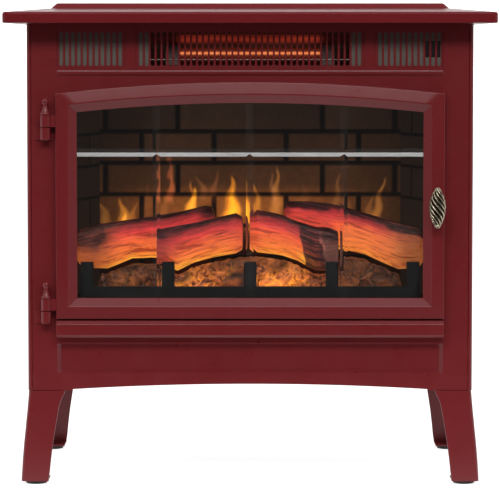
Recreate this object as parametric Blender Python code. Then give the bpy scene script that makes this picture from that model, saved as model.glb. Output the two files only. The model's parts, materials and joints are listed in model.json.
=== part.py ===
"""Electric stove-style fireplace heater: painted steel cabinet on four sabre
legs, arched glass door, log set, flame projector, quartz heater and blower.
Metres, +Z up, the front faces -Y, the feet stand on Z = 0."""
import bpy
import bmesh
from math import cos, sin, pi, radians
from mathutils import Matrix, Vector

# ---------------------------------------------------------------- sizes (m)
SHEET = 0.0009
MANTEL_HX, MANTEL_HY = 0.305, 0.166
MANTEL_Z0, FASCIA_Z1, PLATEAU_Z0, TOP_Z = 0.5773, 0.5912, 0.5962, 0.6025
PLATEAU_HX, PLATEAU_HY = 0.248, 0.116
BODY_HX, BODY_Y0, BODY_Y1, BODY_Z0, BODY_Z1 = 0.2785, -0.126, 0.156, 0.118, 0.577
PANEL_HX = 0.2727
SLOT_PITCH, SLOT_W, SLOT_Z0, SLOT_Z1 = 0.00735, 0.0041, 0.5243, 0.5662
DOOR_HX, DOOR_Z0, DOOR_Z1, DOOR_BOW = 0.2418, 0.2090, 0.5047, 0.248
HINGE_X, HINGE_Y = -0.2543, -0.1355
HANDLE_X, HANDLE_Y, HANDLE_Z = 0.2319, -0.1535, 0.349
TUBE_Y, TUBE_Z = -0.098, 0.540
FAN_Y, FAN_Z = 0.030, 0.541
ROTOR_Y, ROTOR_Z = -0.010, 0.2040

for old in list(bpy.data.objects):
    bpy.data.objects.remove(old)
PARTS = bpy.data.collections.new("electric_fireplace")
TOOLS = bpy.data.collections.new("cutters")
for made in (PARTS, TOOLS):
    bpy.context.scene.collection.children.link(made)

COLOURS = {
    "red": ((0.155, 0.012, 0.016), 0.0, 0.32),
    "black": ((0.012, 0.012, 0.013), 0.0, 0.5),
    "dark": ((0.060, 0.055, 0.052), 0.0, 0.6),
    "zinc": ((0.55, 0.55, 0.56), 1.0, 0.35),
    "polished": ((0.85, 0.84, 0.82), 1.0, 0.12),
    "bronze": ((0.42, 0.38, 0.30), 1.0, 0.35),
    "glass": ((0.80, 0.82, 0.82), 0.0, 0.03),
    "quartz": ((0.90, 0.45, 0.30), 0.0, 0.1),
    "glow": ((1.0, 0.30, 0.06), 0.0, 0.4),
    "ceramic": ((0.80, 0.78, 0.74), 0.0, 0.6),
    "brick": ((0.10, 0.06, 0.035), 0.0, 0.85),
    "log": ((0.45, 0.14, 0.06), 0.0, 0.8),
    "ember": ((0.50, 0.17, 0.05), 0.0, 0.8),
    "rubber": ((0.015, 0.015, 0.015), 0.0, 0.7),
    "board": ((0.03, 0.14, 0.06), 0.0, 0.5),
    "plastic": ((0.02, 0.02, 0.022), 0.0, 0.4),
    "lens": ((0.015, 0.010, 0.012), 0.0, 0.08),
}


def paint(obj, colour):
    rgb, metal, rough = COLOURS[colour]
    mat = bpy.data.materials.new(obj.name + "_finish")
    mat.use_nodes = True
    shader = mat.node_tree.nodes["Principled BSDF"]
    shader.inputs["Base Color"].default_value = (*rgb, 1.0)
    shader.inputs["Metallic"].default_value = metal
    shader.inputs["Roughness"].default_value = rough
    obj.data.materials.clear()
    obj.data.materials.append(mat)
    return obj


def place(obj, colour):
    """A finished node goes in PARTS, a tool (colour None) in TOOLS."""
    if colour is None:
        TOOLS.objects.link(obj)
        obj.hide_render = True
        obj.display_type = "WIRE"
    else:
        PARTS.objects.link(obj)
        paint(obj, colour)
    return obj


def solid(name, verts, faces, colour=None):
    data = bpy.data.meshes.new(name)
    data.from_pydata([tuple(v) for v in verts], [], faces)
    bm = bmesh.new()
    bm.from_mesh(data)
    bmesh.ops.recalc_face_normals(bm, faces=bm.faces)
    bm.to_mesh(data)
    bm.free()
    return place(bpy.data.objects.new(name, data), colour)


def loft(name, rings, colour=None, hoop=False):
    """Skin through rings of equal length; ends capped, or joined if hoop."""
    n, verts, faces = len(rings[0]), [], []
    for ring in rings:
        verts += ring
    last = len(rings) if hoop else len(rings) - 1
    for k in range(last):
        a, b = k * n, ((k + 1) % len(rings)) * n
        for i in range(n):
            j = (i + 1) % n
            faces.append((a + i, a + j, b + j, b + i))
    if not hoop:
        faces.append(tuple(range(n)))
        faces.append(tuple(range((len(rings) - 1) * n, len(rings) * n)))
    return solid(name, verts, faces, colour)


def put(axis, u, v, w):
    """The outline point (u, v) at the distance w along the axis."""
    return {"X": (w, u, v), "Y": (u, w, v), "Z": (u, v, w)}[axis]


def prism(name, outline, axis, a, b, colour=None):
    return loft(name, [[put(axis, u, v, w) for u, v in outline] for w in (a, b)], colour)


def box(name, x0, x1, y0, y1, z0, z1, colour=None):
    return prism(name, [(x0, y0), (x1, y0), (x1, y1), (x0, y1)], "Z", z0, z1, colour)


def circle(cu, cv, r, n=20, turn=0.0):
    return [(cu + r * cos(2 * pi * (i + turn) / n), cv + r * sin(2 * pi * (i + turn) / n)) for i in range(n)]


def rounded(cu, cv, hu, hv, r, n=4):
    pts = []
    for su, sv, start in ((1, 1, 0), (-1, 1, 90), (-1, -1, 180), (1, -1, 270)):
        for i in range(n + 1):
            a = radians(start + 90 * i / n)
            pts.append((cu + su * (hu - r) + r * cos(a), cv + sv * (hv - r) + r * sin(a)))
    return pts


def sheet(name, outer, holes, axis, a, b, colour=None):
    """A flat outline with holes as an extruded 2D curve, turned to its plane
    and made a mesh, so a Boolean can take it."""
    data = bpy.data.curves.new(name, "CURVE")
    data.dimensions, data.fill_mode, data.extrude = "2D", "BOTH", abs(b - a) / 2
    for loop in [outer] + holes:
        spline = data.splines.new("POLY")
        spline.points.add(len(loop) - 1)
        for point, (u, v) in zip(spline.points, loop):
            point.co = (u, v, 0.0, 1.0)
        spline.use_cyclic_u = True
    curve = bpy.data.objects.new(name + "_outline", data)
    TOOLS.objects.link(curve)
    curve.hide_render = True
    mesh = bpy.data.meshes.new_from_object(curve)
    bpy.data.objects.remove(curve)
    mid = (a + b) / 2
    turn = {
        "Z": Matrix.Translation((0, 0, mid)),
        "Y": Matrix.Translation((0, mid, 0)) @ Matrix.Rotation(pi / 2, 4, "X"),
        "X": Matrix.Translation((mid, 0, 0)) @ Matrix(((0, 0, 1, 0), (1, 0, 0, 0), (0, 1, 0, 0), (0, 0, 0, 1))),
    }[axis]
    mesh.transform(turn)
    bm = bmesh.new()
    bm.from_mesh(mesh)
    bmesh.ops.remove_doubles(bm, verts=bm.verts, dist=1e-6)
    bmesh.ops.recalc_face_normals(bm, faces=bm.faces)
    bm.to_mesh(mesh)
    bm.free()
    mesh.materials.clear()
    return place(bpy.data.objects.new(name, mesh), colour)


def combine(obj, how, *others):
    for other in others:
        mod = obj.modifiers.new(how.lower() + "_" + other.name, "BOOLEAN")
        mod.operation, mod.solver, mod.object = how, "EXACT", other
    return obj


def join(obj, *others):
    return combine(obj, "UNION", *others)


def cut(obj, *others):
    return combine(obj, "DIFFERENCE", *others)


def arch(inset, steps=12, z0=DOOR_Z0, z1=DOOR_Z1):
    """The door's outline pulled in by inset: flat bottom, bowed top."""
    hx = DOOR_HX - inset
    pts = [(-hx, z0 + inset), (hx, z0 + inset)]
    for i in range(steps + 1):
        x = hx * (1 - 2 * i / steps)
        pts.append((x, z1 - inset - DOOR_BOW * x * x))
    return pts


# ---------------------------------------------------------------- mantel top
def plan(hx, hy, r, z):
    return [(x, y, z) for x, y in rounded(0, 0, hx, hy, r, 4)]


T = 0.0010
loft("mantel_top", [
    plan(0.242, 0.110, 0.004, TOP_Z),
    plan(PLATEAU_HX, PLATEAU_HY, 0.006, PLATEAU_Z0),
    plan(MANTEL_HX - 0.003, MANTEL_HY - 0.003, 0.006, FASCIA_Z1),
    plan(MANTEL_HX - 0.0009, MANTEL_HY - 0.0009, 0.0072, FASCIA_Z1 - 0.0009),
    plan(MANTEL_HX, MANTEL_HY, 0.008, FASCIA_Z1 - 0.003),
    plan(MANTEL_HX, MANTEL_HY, 0.008, MANTEL_Z0 + 0.0008),
    plan(MANTEL_HX - 0.0008, MANTEL_HY - 0.0008, 0.0072, MANTEL_Z0),
    plan(0.265, 0.113, 0.003, MANTEL_Z0),
    plan(0.265, 0.113, 0.003, MANTEL_Z0 + T),
    plan(MANTEL_HX - T, MANTEL_HY - T, 0.0065, MANTEL_Z0 + T),
    plan(MANTEL_HX - T, MANTEL_HY - T, 0.0065, FASCIA_Z1 - 0.0040),
    plan(PLATEAU_HX - 0.0004, PLATEAU_HY - 0.0004, 0.0056, PLATEAU_Z0 - T - 0.0001),
    plan(0.2412, 0.1092, 0.0036, TOP_Z - T),
], "red")

# ---------------------------------------------------------------- front panel
def slot(x, z0, z1, w, n=4):
    r, pts = w / 2, []
    for i in range(n + 1):
        a = pi * i / n
        pts.append((x + r * cos(a), z1 - r + r * sin(a)))
    for i in range(n + 1):
        a = pi + pi * i / n
        pts.append((x + r * cos(a), z0 + r + r * sin(a)))
    return pts


POCKETS = [(-0.241, -0.154), (-0.1426, 0.1426), (0.154, 0.241)]
apron = [(-PANEL_HX, 0.1182), (-0.2225, 0.1182), (-0.2225, 0.1194)]
apron += [(0.2225 * (i / 6 - 1), 0.1261 - 0.1353 * (0.2225 * (i / 6 - 1)) ** 2) for i in range(1, 12)]
apron += [(0.2225, 0.1194), (0.2225, 0.1182), (PANEL_HX, 0.1182)]
mouth = [(-0.222, 0.2285), (0.222, 0.2285)]
for i in range(9):
    x = 0.222 * (1 - i / 4)
    mouth.append((x, 0.487 - DOOR_BOW * x * x))
panel = sheet(
    "front_panel",
    apron + [(PANEL_HX, BODY_Z1), (-PANEL_HX, BODY_Z1)],
    [rounded((a + b) / 2, 0.54515, (b - a) / 2, 0.02335 + 0.0004 * a, 0.002, 2) for a, b in POCKETS]
    + [mouth, rounded(0, 0.1585, 0.2380, 0.0155, 0.001, 1), circle(0.232, 0.349, 0.0045, 12)],
    "Y", BODY_Y0, BODY_Y0 + SHEET, "red")
join(
    panel,
    box("panel_hem_left", -PANEL_HX + 0.0002, -PANEL_HX + SHEET, BODY_Y0 + 0.0004, -0.112, 0.1290, 0.570),
    box("panel_hem_right", PANEL_HX - SHEET, PANEL_HX - 0.0002, BODY_Y0 + 0.0004, -0.112, 0.1290, 0.570),
    prism("panel_bead", [(-0.1255, 0.5124), (-0.1268, 0.5126), (-0.1276, 0.5144), (-0.1276, 0.5176), (-0.1268, 0.5194), (-0.1255, 0.5196)], "X", -0.2415, 0.2415),
    loft("recess_tray", [
        [(x, -0.1256, z) for x, z in rounded(0, 0.1585, 0.2435, 0.0207, 0.002, 2)],
        [(x, -0.1203, z) for x, z in rounded(0, 0.1597, 0.2385, 0.0170, 0.002, 2)],
    ]),
)
cut(panel, loft("recess_cut", [
    [(x, -0.1290, z) for x, z in rounded(0, 0.15838, 0.2447, 0.02176, 0.002, 2)],
    [(x, -0.1217, z) for x, z in rounded(0, 0.1597, 0.2370, 0.0157, 0.001, 2)],
]))

grille_slots = []
for i in range(38):
    grille_slots.append(slot((i - 18.5) * SLOT_PITCH, SLOT_Z0, SLOT_Z1, SLOT_W, 2))
for side in (-1, 1):
    for i in range(11):
        grille_slots.append(slot(side * (0.1617 + i * SLOT_PITCH), SLOT_Z0, SLOT_Z1, SLOT_W, 2))
sheet("louvre_grille", [(-0.2435, 0.5203), (0.2435, 0.5203), (0.2435, 0.5700), (-0.2435, 0.5700)],
      grille_slots, "Y", -0.1244, -0.1232, "red")
sheet("louvre_backing", [(-0.2435, 0.5203), (0.2435, 0.5203), (0.2435, 0.5700), (-0.2435, 0.5700)],
      [[(-0.1260, 0.5225), (0.1260, 0.5225), (0.1260, 0.5675), (-0.1260, 0.5675)],
       [(0.2164, 0.5350), (0.2368, 0.5350), (0.2368, 0.5548), (0.2164, 0.5548)]],
      "Y", -0.1228, -0.1218, "dark")
box("receiver_window", 0.2168, 0.2364, -0.1226, -0.1196, 0.5354, 0.5544, "lens")

# hearth ledge: a folded bar under the door
prism("hearth_ledge", [(-0.1264, 0.1860), (-0.1405, 0.1860), (-0.1440, 0.1895), (-0.1440, 0.2030), (-0.1400, 0.2072), (-0.1264, 0.2072),
                       (-0.1264, 0.2058), (-0.1394, 0.2058), (-0.1426, 0.2025), (-0.1426, 0.1900), (-0.1399, 0.1874), (-0.1264, 0.1874)],
      "X", -0.2415, 0.2415, "red")

# ---------------------------------------------------------------- body shell
def side_outline(s):
    def arc(cx, cy, r, a0, a1, n=3):
        return [(cx + r * cos(radians(a0 + (a1 - a0) * i / n)), cy + r * sin(radians(a0 + (a1 - a0) * i / n))) for i in range(n + 1)]
    outer = arc(BODY_HX - 0.005, BODY_Y0 + 0.005, 0.005, -90, 0) + arc(BODY_HX - 0.003, BODY_Y1 - 0.003, 0.003, 0, 90, 2)
    inner = arc(BODY_HX - 0.003, BODY_Y1 - 0.003, 0.0018, 90, 0, 2) + arc(BODY_HX - 0.005, BODY_Y0 + 0.005, 0.0038, 0, -90)
    pts = [(0.2732, BODY_Y0)] + outer + [(0.262, BODY_Y1), (0.262, BODY_Y1 - SHEET)] + inner + [(0.2732, BODY_Y0 + SHEET)]
    return [(s * x, y) for x, y in pts]


prism("side_panel_left", side_outline(-1), "Z", BODY_Z0, BODY_Z1, "red")
prism("side_panel_right", side_outline(1), "Z", BODY_Z0, BODY_Z1, "red")

vents = []
for column in (-0.085, 0.0, 0.085):
    for row in range(9):
        vents.append(rounded(column, 0.330 + row * 0.013, 0.034, 0.0025, 0.0024, 1))
sheet("rear_panel", [(-0.2750, 0.1292), (0.2750, 0.1292), (0.2750, 0.5768), (-0.2750, 0.5768)],
      vents + [[(-0.232, 0.503), (-0.138, 0.503), (-0.138, 0.537), (-0.232, 0.537)], circle(-0.225, 0.165, 0.0075, 12)],
      "Y", 0.1533, 0.1545, "black")
base = box("base_pan", -0.2768, 0.2768, -0.1105, 0.1529, 0.1272, 0.1284, "black")
join(base, box("base_lip", -0.2700, 0.2700, -0.1105, -0.1093, 0.1280, 0.1400))

# ---------------------------------------------------------------- legs
LEG = [(0.1177, 0.2778, 0.2311), (0.1090, 0.2784, 0.2355), (0.1000, 0.2792, 0.2390), (0.0820, 0.2809, 0.2423),
       (0.0500, 0.2839, 0.2472), (0.0155, 0.2863, 0.2510), (0.0045, 0.2868, 0.2526)]


def leg(name, sx, sy):
    front = 0.1268 if sy < 0 else 0.1568
    t, r = 0.0020, 0.0055
    rings = []
    for z, xo, xi in LEG:
        yo = front + xo - 0.2778
        yi = yo - (xo - xi)
        ring = [(xi, yo)]
        for i in range(4):
            a = radians(90 - 30 * i)
            ring.append((xo - r + r * cos(a), yo - r + r * sin(a)))
        ring += [(xo, yi), (xo - t, yi), (xo - t, yo - t), (xi, yo - t)]
        rings.append([(sx * x, sy * y, z) for x, y in ring])
    obj = loft(name, rings, "red")

    def block(tag, x0, x1, y0, y1, z0, z1):
        return box(name + tag, *sorted((sx * x0, sx * x1)), *sorted((sy * y0, sy * y1)), z0, z1)

    top = front - 0.0025 if sy < 0 else front - 0.0042
    join(
        obj,
        block("_tab_side", 0.2751, 0.2769, top - 0.040, top - 0.0040, 0.1120, 0.1268),
        block("_tab_face", 0.2360, 0.2735, top - 0.0018, top, 0.1120, 0.1268),
        block("_top_plate", 0.2360, 0.2755, top - 0.0401, top - 0.0005, 0.1253, 0.1267),
        block("_sole", 0.2528, 0.2855, front - 0.0240, front + 0.0080, 0.0046, 0.0066),
    )
    return obj


def pad(name, sx, sy):
    front = 0.1268 if sy < 0 else 0.1568
    cx, cy = sx * 0.2690, sy * (front - 0.0090)
    return prism(name, circle(cx, cy, 0.0135, 16), "Z", 0.0, 0.0043, "rubber")


for fb, sy in (("front", -1), ("rear", 1)):
    for lr, sx in (("left", -1), ("right", 1)):
        leg("leg_%s_%s" % (fb, lr), sx, sy)
        pad("foot_pad_%s_%s" % (fb, lr), sx, sy)

# ---------------------------------------------------------------- door
PROFILE = [(0.0, -0.1275), (0.0, -0.1384), (0.0012, -0.1393), (0.0146, -0.1419), (0.0158, -0.1420),
           (0.0263, -0.1352), (0.0263, -0.1340), (0.0252, -0.1340), (0.0157, -0.1405), (0.0148, -0.1406), (0.0016, -0.1379),
           (0.0012, -0.1287), (0.0125, -0.1287), (0.0125, -0.1275)]
door = loft("door_frame", [[(x, y, z) for x, z in arch(d)] for d, y in PROFILE], "red", hoop=True)
for tag, z0, z1 in (("upper", 0.4483, 0.4632), ("lower", 0.2193, 0.2342)):
    join(door,
         prism("door_knuckle_" + tag, circle(HINGE_X, HINGE_Y, 0.0065, 20), "Z", z0, z1),
         box("door_leaf_" + tag, HINGE_X, -0.2408, -0.1378, -0.1345, z0, z1))
for tag, z0, z1 in (("upper", 0.4483, 0.4632), ("lower", 0.2193, 0.2342)):
    cut(door, prism("door_bore_" + tag, circle(HINGE_X, HINGE_Y, 0.0030, 20), "Z", z0 - 0.002, z1 + 0.002))
cut(door, prism("handle_bore", circle(HANDLE_X, HANDLE_Z, 0.0026, 12), "Y", -0.150, -0.120))

prism("door_glass", arch(0.0153), "Y", -0.1335, -0.1301, "glass")
loft("glass_retainer", [[(x, y, z) for x, z in arch(d)] for d, y in
                        ((0.0147, -0.1296), (0.0250, -0.1296), (0.0250, -0.1282), (0.0147, -0.1282))], "black", hoop=True)
box("strike_plate", 0.2290, 0.2350, -0.1272, -0.1266, 0.339, 0.359, "zinc")
prism("magnet_catch", circle(0.232, 0.349, 0.0040, 12), "Y", -0.1261, -0.1190, "zinc")

for tag, base_z in (("upper", 0.4483), ("lower", 0.2193)):
    socket = prism("hinge_socket_" + tag, circle(HINGE_X, HINGE_Y, 0.0065, 20), "Z", base_z - 0.0158, base_z - 0.0007, "red")
    join(socket,
         box("socket_web_" + tag, -0.2593, -0.2493, -0.1320, -0.1263, base_z - 0.0158, base_z - 0.0007),
         box("socket_leaf_" + tag, -0.2690, -0.2445, -0.1279, -0.1263, base_z - 0.0165, base_z + 0.0000))
    cut(socket, prism("socket_bore_" + tag, circle(HINGE_X, HINGE_Y, 0.0030, 20), "Z", base_z - 0.0125, base_z + 0.002))
    z = base_z + 0.0153
    turned = [(0.0021, base_z - 0.0120), (0.0021, z), (0.0058, z), (0.0063, z + 0.0012), (0.0060, z + 0.0028), (0.0043, z + 0.0060),
              (0.0029, z + 0.0105), (0.0027, z + 0.0130), (0.0039, z + 0.0152), (0.0042, z + 0.0172), (0.0034, z + 0.0192), (0.0012, z + 0.0206)]
    loft("hinge_pin_" + tag, [[(x, y, h) for x, y in circle(HINGE_X, HINGE_Y, r, 16)] for r, h in turned], "red")


def tube(points, radius, sides):
    """A bent round bar along points: rings square to the path, capped."""
    verts, faces, n = [], [], len(points)
    up = None
    for k, p in enumerate(points):
        ahead = (Vector(points[min(k + 1, n - 1)]) - Vector(points[max(k - 1, 0)])).normalized()
        if up is None:
            up = ahead.orthogonal().normalized()
        up = (up - ahead * up.dot(ahead)).normalized()
        across = ahead.cross(up)
        for i in range(sides):
            a = 2 * pi * i / sides
            verts.append(Vector(p) + up * (radius * cos(a)) + across * (radius * sin(a)))
    for k in range(n - 1):
        for i in range(sides):
            j = (i + 1) % sides
            faces.append((k * sides + i, k * sides + j, (k + 1) * sides + j, (k + 1) * sides + i))
    faces.append(tuple(range(sides)))
    faces.append(tuple(range((n - 1) * sides, n * sides)))
    return verts, faces


# spiral cage handle: eight wires between two end knobs, on a turned post
verts, faces = [], []
for w in range(8):
    path = []
    for k in range(11):
        f = k / 10
        r = 0.0031 + 0.0063 * sin(pi * f) ** 0.8
        a = 2 * pi * w / 8 - 1.9 * pi / 2 * (f - 0.5) * 1.25
        path.append((HANDLE_X + r * cos(a), HANDLE_Y + r * sin(a), HANDLE_Z - 0.0225 + 0.045 * f))
    v, f = tube(path, 0.0010, 5)
    faces += [tuple(i + len(verts) for i in face) for face in f]
    verts += v
wires = solid("cage_wires", verts, faces)
post = [(0.0021, -0.1290), (0.0021, -0.1424), (0.0062, -0.1424), (0.0062, -0.1436), (0.0034, -0.1442), (0.0030, -0.1475)]
handle = loft("door_handle", [[(x, y, z) for x, z in circle(HANDLE_X, HANDLE_Z, r, 14)] for r, y in post], "bronze")
ends = []
for s, tag in ((-1, "bottom"), (1, "top")):
    rings = [(0.0030, 0.0205), (0.0047, 0.0216), (0.0047, 0.0240), (0.0030, 0.0250), (0.0018, 0.0255)]
    ends.append(loft("cage_knob_" + tag, [[(x, y, HANDLE_Z + s * h) for x, y in circle(HANDLE_X, HANDLE_Y, r, 14)] for r, h in rings]))
join(handle, wires, *ends)

# ---------------------------------------------------------------- firebox
def deck(name, z0, z1, holes=()):
    outer = [(-0.2235, -0.1240), (0.2235, -0.1240), (0.2235, -0.0660), (0.1980, 0.0095), (-0.1980, 0.0095), (-0.2235, -0.0660)]
    return sheet(name, outer, list(holes), "Z", z0, z1, "black")


floor = deck("firebox_floor", 0.2310, 0.2322, [
    [(-0.170, -0.080), (0.170, -0.080), (0.170, -0.045), (-0.170, -0.045)],
    [(-0.168, -0.0205), (0.168, -0.0205), (0.168, 0.0010), (-0.168, 0.0010)]])
bearing = box("rotor_bearing", -0.1745, -0.1725, -0.0180, -0.0020, 0.1970, 0.2315)
join(floor, bearing)
cut(floor, prism("rotor_bearing_bore", circle(ROTOR_Y, ROTOR_Z, 0.0029, 12), "X", -0.180, -0.165))
deck("firebox_top", 0.5062, 0.5074)
box("firebox_back", -0.1975, 0.1975, 0.0100, 0.0112, 0.2250, 0.5100, "brick")
for s, tag in ((-1, "left"), (1, "right")):
    prism("firebox_wall_" + tag, [(s * x, y) for x, y in ((0.1957, 0.0094), (0.2223, -0.0658), (0.2223, -0.1238), (0.2232, -0.1238), (0.2232, -0.0660), (0.1967, 0.0094))],
          "Z", 0.2326, 0.5058, "black")

# bed of resin embers, a lumpy slab on the floor
NX, NY = 30, 5
top, bottom = [], []
for j in range(NY + 1):
    y = -0.0985 + 0.0760 * j / NY
    for i in range(NX + 1):
        x = -0.190 + 0.380 * i / NX
        lump = 0.0020 * sin(5.1 * i + 2.3 * j) * cos(1.7 * i - 3.9 * j)
        edge = 0.010 if j in (0, NY) or i in (0, NX) else 0.0
        top.append((x, y, 0.2580 + lump - edge))
rim = [(j, 0) for j in range(NY + 1)] + [(NY, i) for i in range(1, NX + 1)] + [(j, NX) for j in range(NY - 1, -1, -1)] + [(0, i) for i in range(NX - 1, 0, -1)]
faces = []
for j in range(NY):
    for i in range(NX):
        a = j * (NX + 1) + i
        faces.append((a, a + 1, a + NX + 2, a + NX + 1))
start = len(top)
for j, i in rim:
    x, y, _ = top[j * (NX + 1) + i]
    bottom.append((x, y, 0.2325))
for k in range(len(rim)):
    n = (k + 1) % len(rim)
    faces.append((rim[k][0] * (NX + 1) + rim[k][1], rim[n][0] * (NX + 1) + rim[n][1], start + n, start + k))
faces.append(tuple(range(start, start + len(rim))))
solid("ember_bed", top + bottom, faces, "ember")

# split logs: stations along X of (x, middle y, half depth, underside z, top z)
LOGS = {
    "log_left": [(-0.2190, -0.0820, 0.0120, 0.2790, 0.3120), (-0.2150, -0.0810, 0.0165, 0.2730, 0.3165), (-0.1960, -0.0750, 0.0180, 0.2670, 0.3215),
                 (-0.1810, -0.0700, 0.0185, 0.2665, 0.3245), (-0.1500, -0.0590, 0.0190, 0.2790, 0.3285), (-0.1226, -0.0470, 0.0180, 0.2790, 0.3305),
                 (-0.0900, -0.0360, 0.0175, 0.2870, 0.3365), (-0.0583, -0.0260, 0.0160, 0.3020, 0.3435), (-0.0490, -0.0235, 0.0140, 0.3070, 0.3420), (-0.0465, -0.0230, 0.0090, 0.3160, 0.3360)],
    "log_centre_left": [(-0.1180, -0.0840, 0.0110, 0.2830, 0.3100), (-0.1150, -0.0840, 0.0150, 0.2750, 0.3165), (-0.0920, -0.0835, 0.0160, 0.2650, 0.3205),
                        (-0.0690, -0.0815, 0.0175, 0.2757, 0.3245), (-0.0445, -0.0790, 0.0190, 0.2820, 0.3308), (-0.0180, -0.0770, 0.0200, 0.2865, 0.3375), (-0.0103, -0.0765, 0.0160, 0.2910, 0.3335)],
    "log_centre_right": [(0.0045, -0.0765, 0.0160, 0.2930, 0.3375), (0.0090, -0.0770, 0.0200, 0.2885, 0.3415), (0.0418, -0.0790, 0.0190, 0.2833, 0.3350),
                         (0.0602, -0.0810, 0.0175, 0.2770, 0.3278), (0.0817, -0.0830, 0.0165, 0.2660, 0.3210), (0.1000, -0.0840, 0.0155, 0.2650, 0.3195), (0.1105, -0.0840, 0.0120, 0.2700, 0.3150)],
    "log_right": [(0.0450, -0.0230, 0.0090, 0.3250, 0.3430), (0.0475, -0.0235, 0.0140, 0.3120, 0.3495), (0.0772, -0.0330, 0.0165, 0.2980, 0.3500), (0.1027, -0.0410, 0.0175, 0.2900, 0.3478),
                  (0.1226, -0.0470, 0.0180, 0.2885, 0.3430), (0.1469, -0.0570, 0.0185, 0.2840, 0.3355), (0.1717, -0.0660, 0.0190, 0.2730, 0.3284), (0.1881, -0.0730, 0.0185, 0.2665, 0.3244),
                  (0.2070, -0.0790, 0.0175, 0.2665, 0.3195), (0.2150, -0.0810, 0.0165, 0.2700, 0.3165), (0.2190, -0.0820, 0.0120, 0.2760, 0.3120)],
}
for name, stations in LOGS.items():
    rings = []
    for x, yc, ry, z0, z1 in stations:
        ring = []
        for i in range(12):
            a = 2 * pi * (i + 0.5) / 12
            cy, cz = cos(a), sin(a)
            ring.append((x, yc + ry * (abs(cy) ** 0.7) * (1 if cy > 0 else -1),
                         (z0 + z1) / 2 + (z1 - z0) / 2 * (abs(cz) ** 0.7) * (1 if cz > 0 else -1)))
        rings.append(ring)
    loft(name, rings, "log")

# grate: a bar with five upright posts
POSTS = (-0.205, -0.103, 0.0, 0.103, 0.205)
outline = [(-0.2130, 0.2326), (0.2130, 0.2326)]
for x in reversed(POSTS):
    outline += [(x + 0.008, 0.2468), (x + 0.008, 0.2770), (x + 0.007, 0.2780), (x - 0.007, 0.2780), (x - 0.008, 0.2770), (x - 0.008, 0.2468)]
prism("grate", outline, "Y", -0.1090, -0.1010, "black")

# ---------------------------------------------------------------- flame effect
board = box("led_board", -0.1755, 0.1755, -0.0830, -0.0420, 0.2291, 0.2307, "board")
for i in range(7):
    x = -0.150 + 0.050 * i
    join(board, box("led_%d" % i, x - 0.0025, x + 0.0025, -0.0650, -0.0600, 0.2300, 0.2320))

star = []
for i in range(4):
    for du, dv in ((0.0100, -0.0007), (0.0100, 0.0007), (0.0015, 0.0015)):
        a = pi / 2 * i
        star.append((ROTOR_Y + du * cos(a) - dv * sin(a), ROTOR_Z + du * sin(a) + dv * cos(a)))
rotor = prism("flame_rotor", star, "X", -0.1650, 0.1650, "polished")
join(rotor, prism("rotor_shaft", circle(ROTOR_Y, ROTOR_Z, 0.0024, 12), "X", -0.1760, 0.1820))
motor = prism("flame_motor", circle(ROTOR_Y, ROTOR_Z, 0.0140, 18), "X", 0.1740, 0.1960, "zinc")
join(motor, box("motor_bracket", 0.1745, 0.1760, -0.0180, -0.0020, 0.2150, 0.2306))
cut(motor, prism("motor_bore", circle(ROTOR_Y, ROTOR_Z, 0.0029, 12), "X", 0.170, 0.1850))

# ---------------------------------------------------------------- heater
prism("heater_reflector", [(-0.1175, 0.5246), (-0.0900, 0.5246), (-0.0780, 0.5330), (-0.0760, 0.5450), (-0.0830, 0.5580), (-0.1175, 0.5660),
                           (-0.1175, 0.5669), (-0.0825, 0.5588), (-0.0750, 0.5452), (-0.0771, 0.5324), (-0.0897, 0.5237), (-0.1175, 0.5237)],
      "X", -0.1330, 0.1330, "polished")
shell = [[(x, y, z) for y, z in circle(TUBE_Y, TUBE_Z, r, 16)] for x, r in
         ((-0.0970, 0.0056), (0.0970, 0.0056), (0.0970, 0.0046), (-0.0970, 0.0046))]
loft("quartz_tube", shell, "quartz", hoop=True)
path = []
for k in range(16 * 8 + 1):
    a = 2 * pi * k / 8
    path.append((-0.0850 + 0.170 * k / 128, TUBE_Y + 0.0028 * cos(a), TUBE_Z + 0.0028 * sin(a)))
v, f = tube(path, 0.0007, 4)
solid("heating_coil", v, f, "glow")
for s, tag in ((-1, "left"), (1, "right")):
    cap = box("tube_cap_" + tag, *sorted((s * 0.0900, s * 0.1060)), -0.1080, -0.0906, 0.5249, 0.5500, "ceramic")
    cut(cap, prism("cap_bore_" + tag, circle(TUBE_Y, TUBE_Z, 0.0060, 16), "X", *sorted((s * 0.0800, s * 0.1020))))
v, f = tube([(-0.1320, -0.1202, 0.5320), (-0.1320 + 0.01, -0.1202, 0.5320), (0.1220, -0.1202, 0.5320), (0.1320, -0.1202, 0.5320)], 0.0010, 8)
solid("heater_guard", v, f, "zinc")

# cross-flow blower behind the reflector
scroll = [(-0.0300, 0.5120), (0.0450, 0.5120), (0.0590, 0.5260), (0.0590, 0.5560), (0.0450, 0.5700), (0.0300, 0.5700),
          (0.0300, 0.5690), (0.0446, 0.5690), (0.0580, 0.5556), (0.0580, 0.5264), (0.0446, 0.5130), (-0.0300, 0.5130)]
housing = prism("blower_housing", scroll, "X", -0.1650, 0.1650, "zinc")
end = [(-0.0200, 0.5122), (0.0450, 0.5122), (0.0588, 0.5260), (0.0588, 0.5560), (0.0450, 0.5698), (0.0100, 0.5698), (-0.0200, 0.5500)]
join(housing, prism("scroll_end_left", end, "X", -0.1650, -0.1636), prism("scroll_end_right", end, "X", 0.1636, 0.1650))
cut(housing, prism("scroll_bore", circle(FAN_Y, FAN_Z, 0.0036, 12), "X", -0.170, 0.170))
fins = []
for i in range(20):
    for da, r in ((-0.22, 0.0165), (-0.22, 0.0220), (0.22, 0.0220), (0.22, 0.0165)):
        a = 2 * pi * (i + da) / 20
        fins.append((r * cos(a), r * sin(a)))
core = circle(0, 0, 0.0154, 20)
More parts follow.
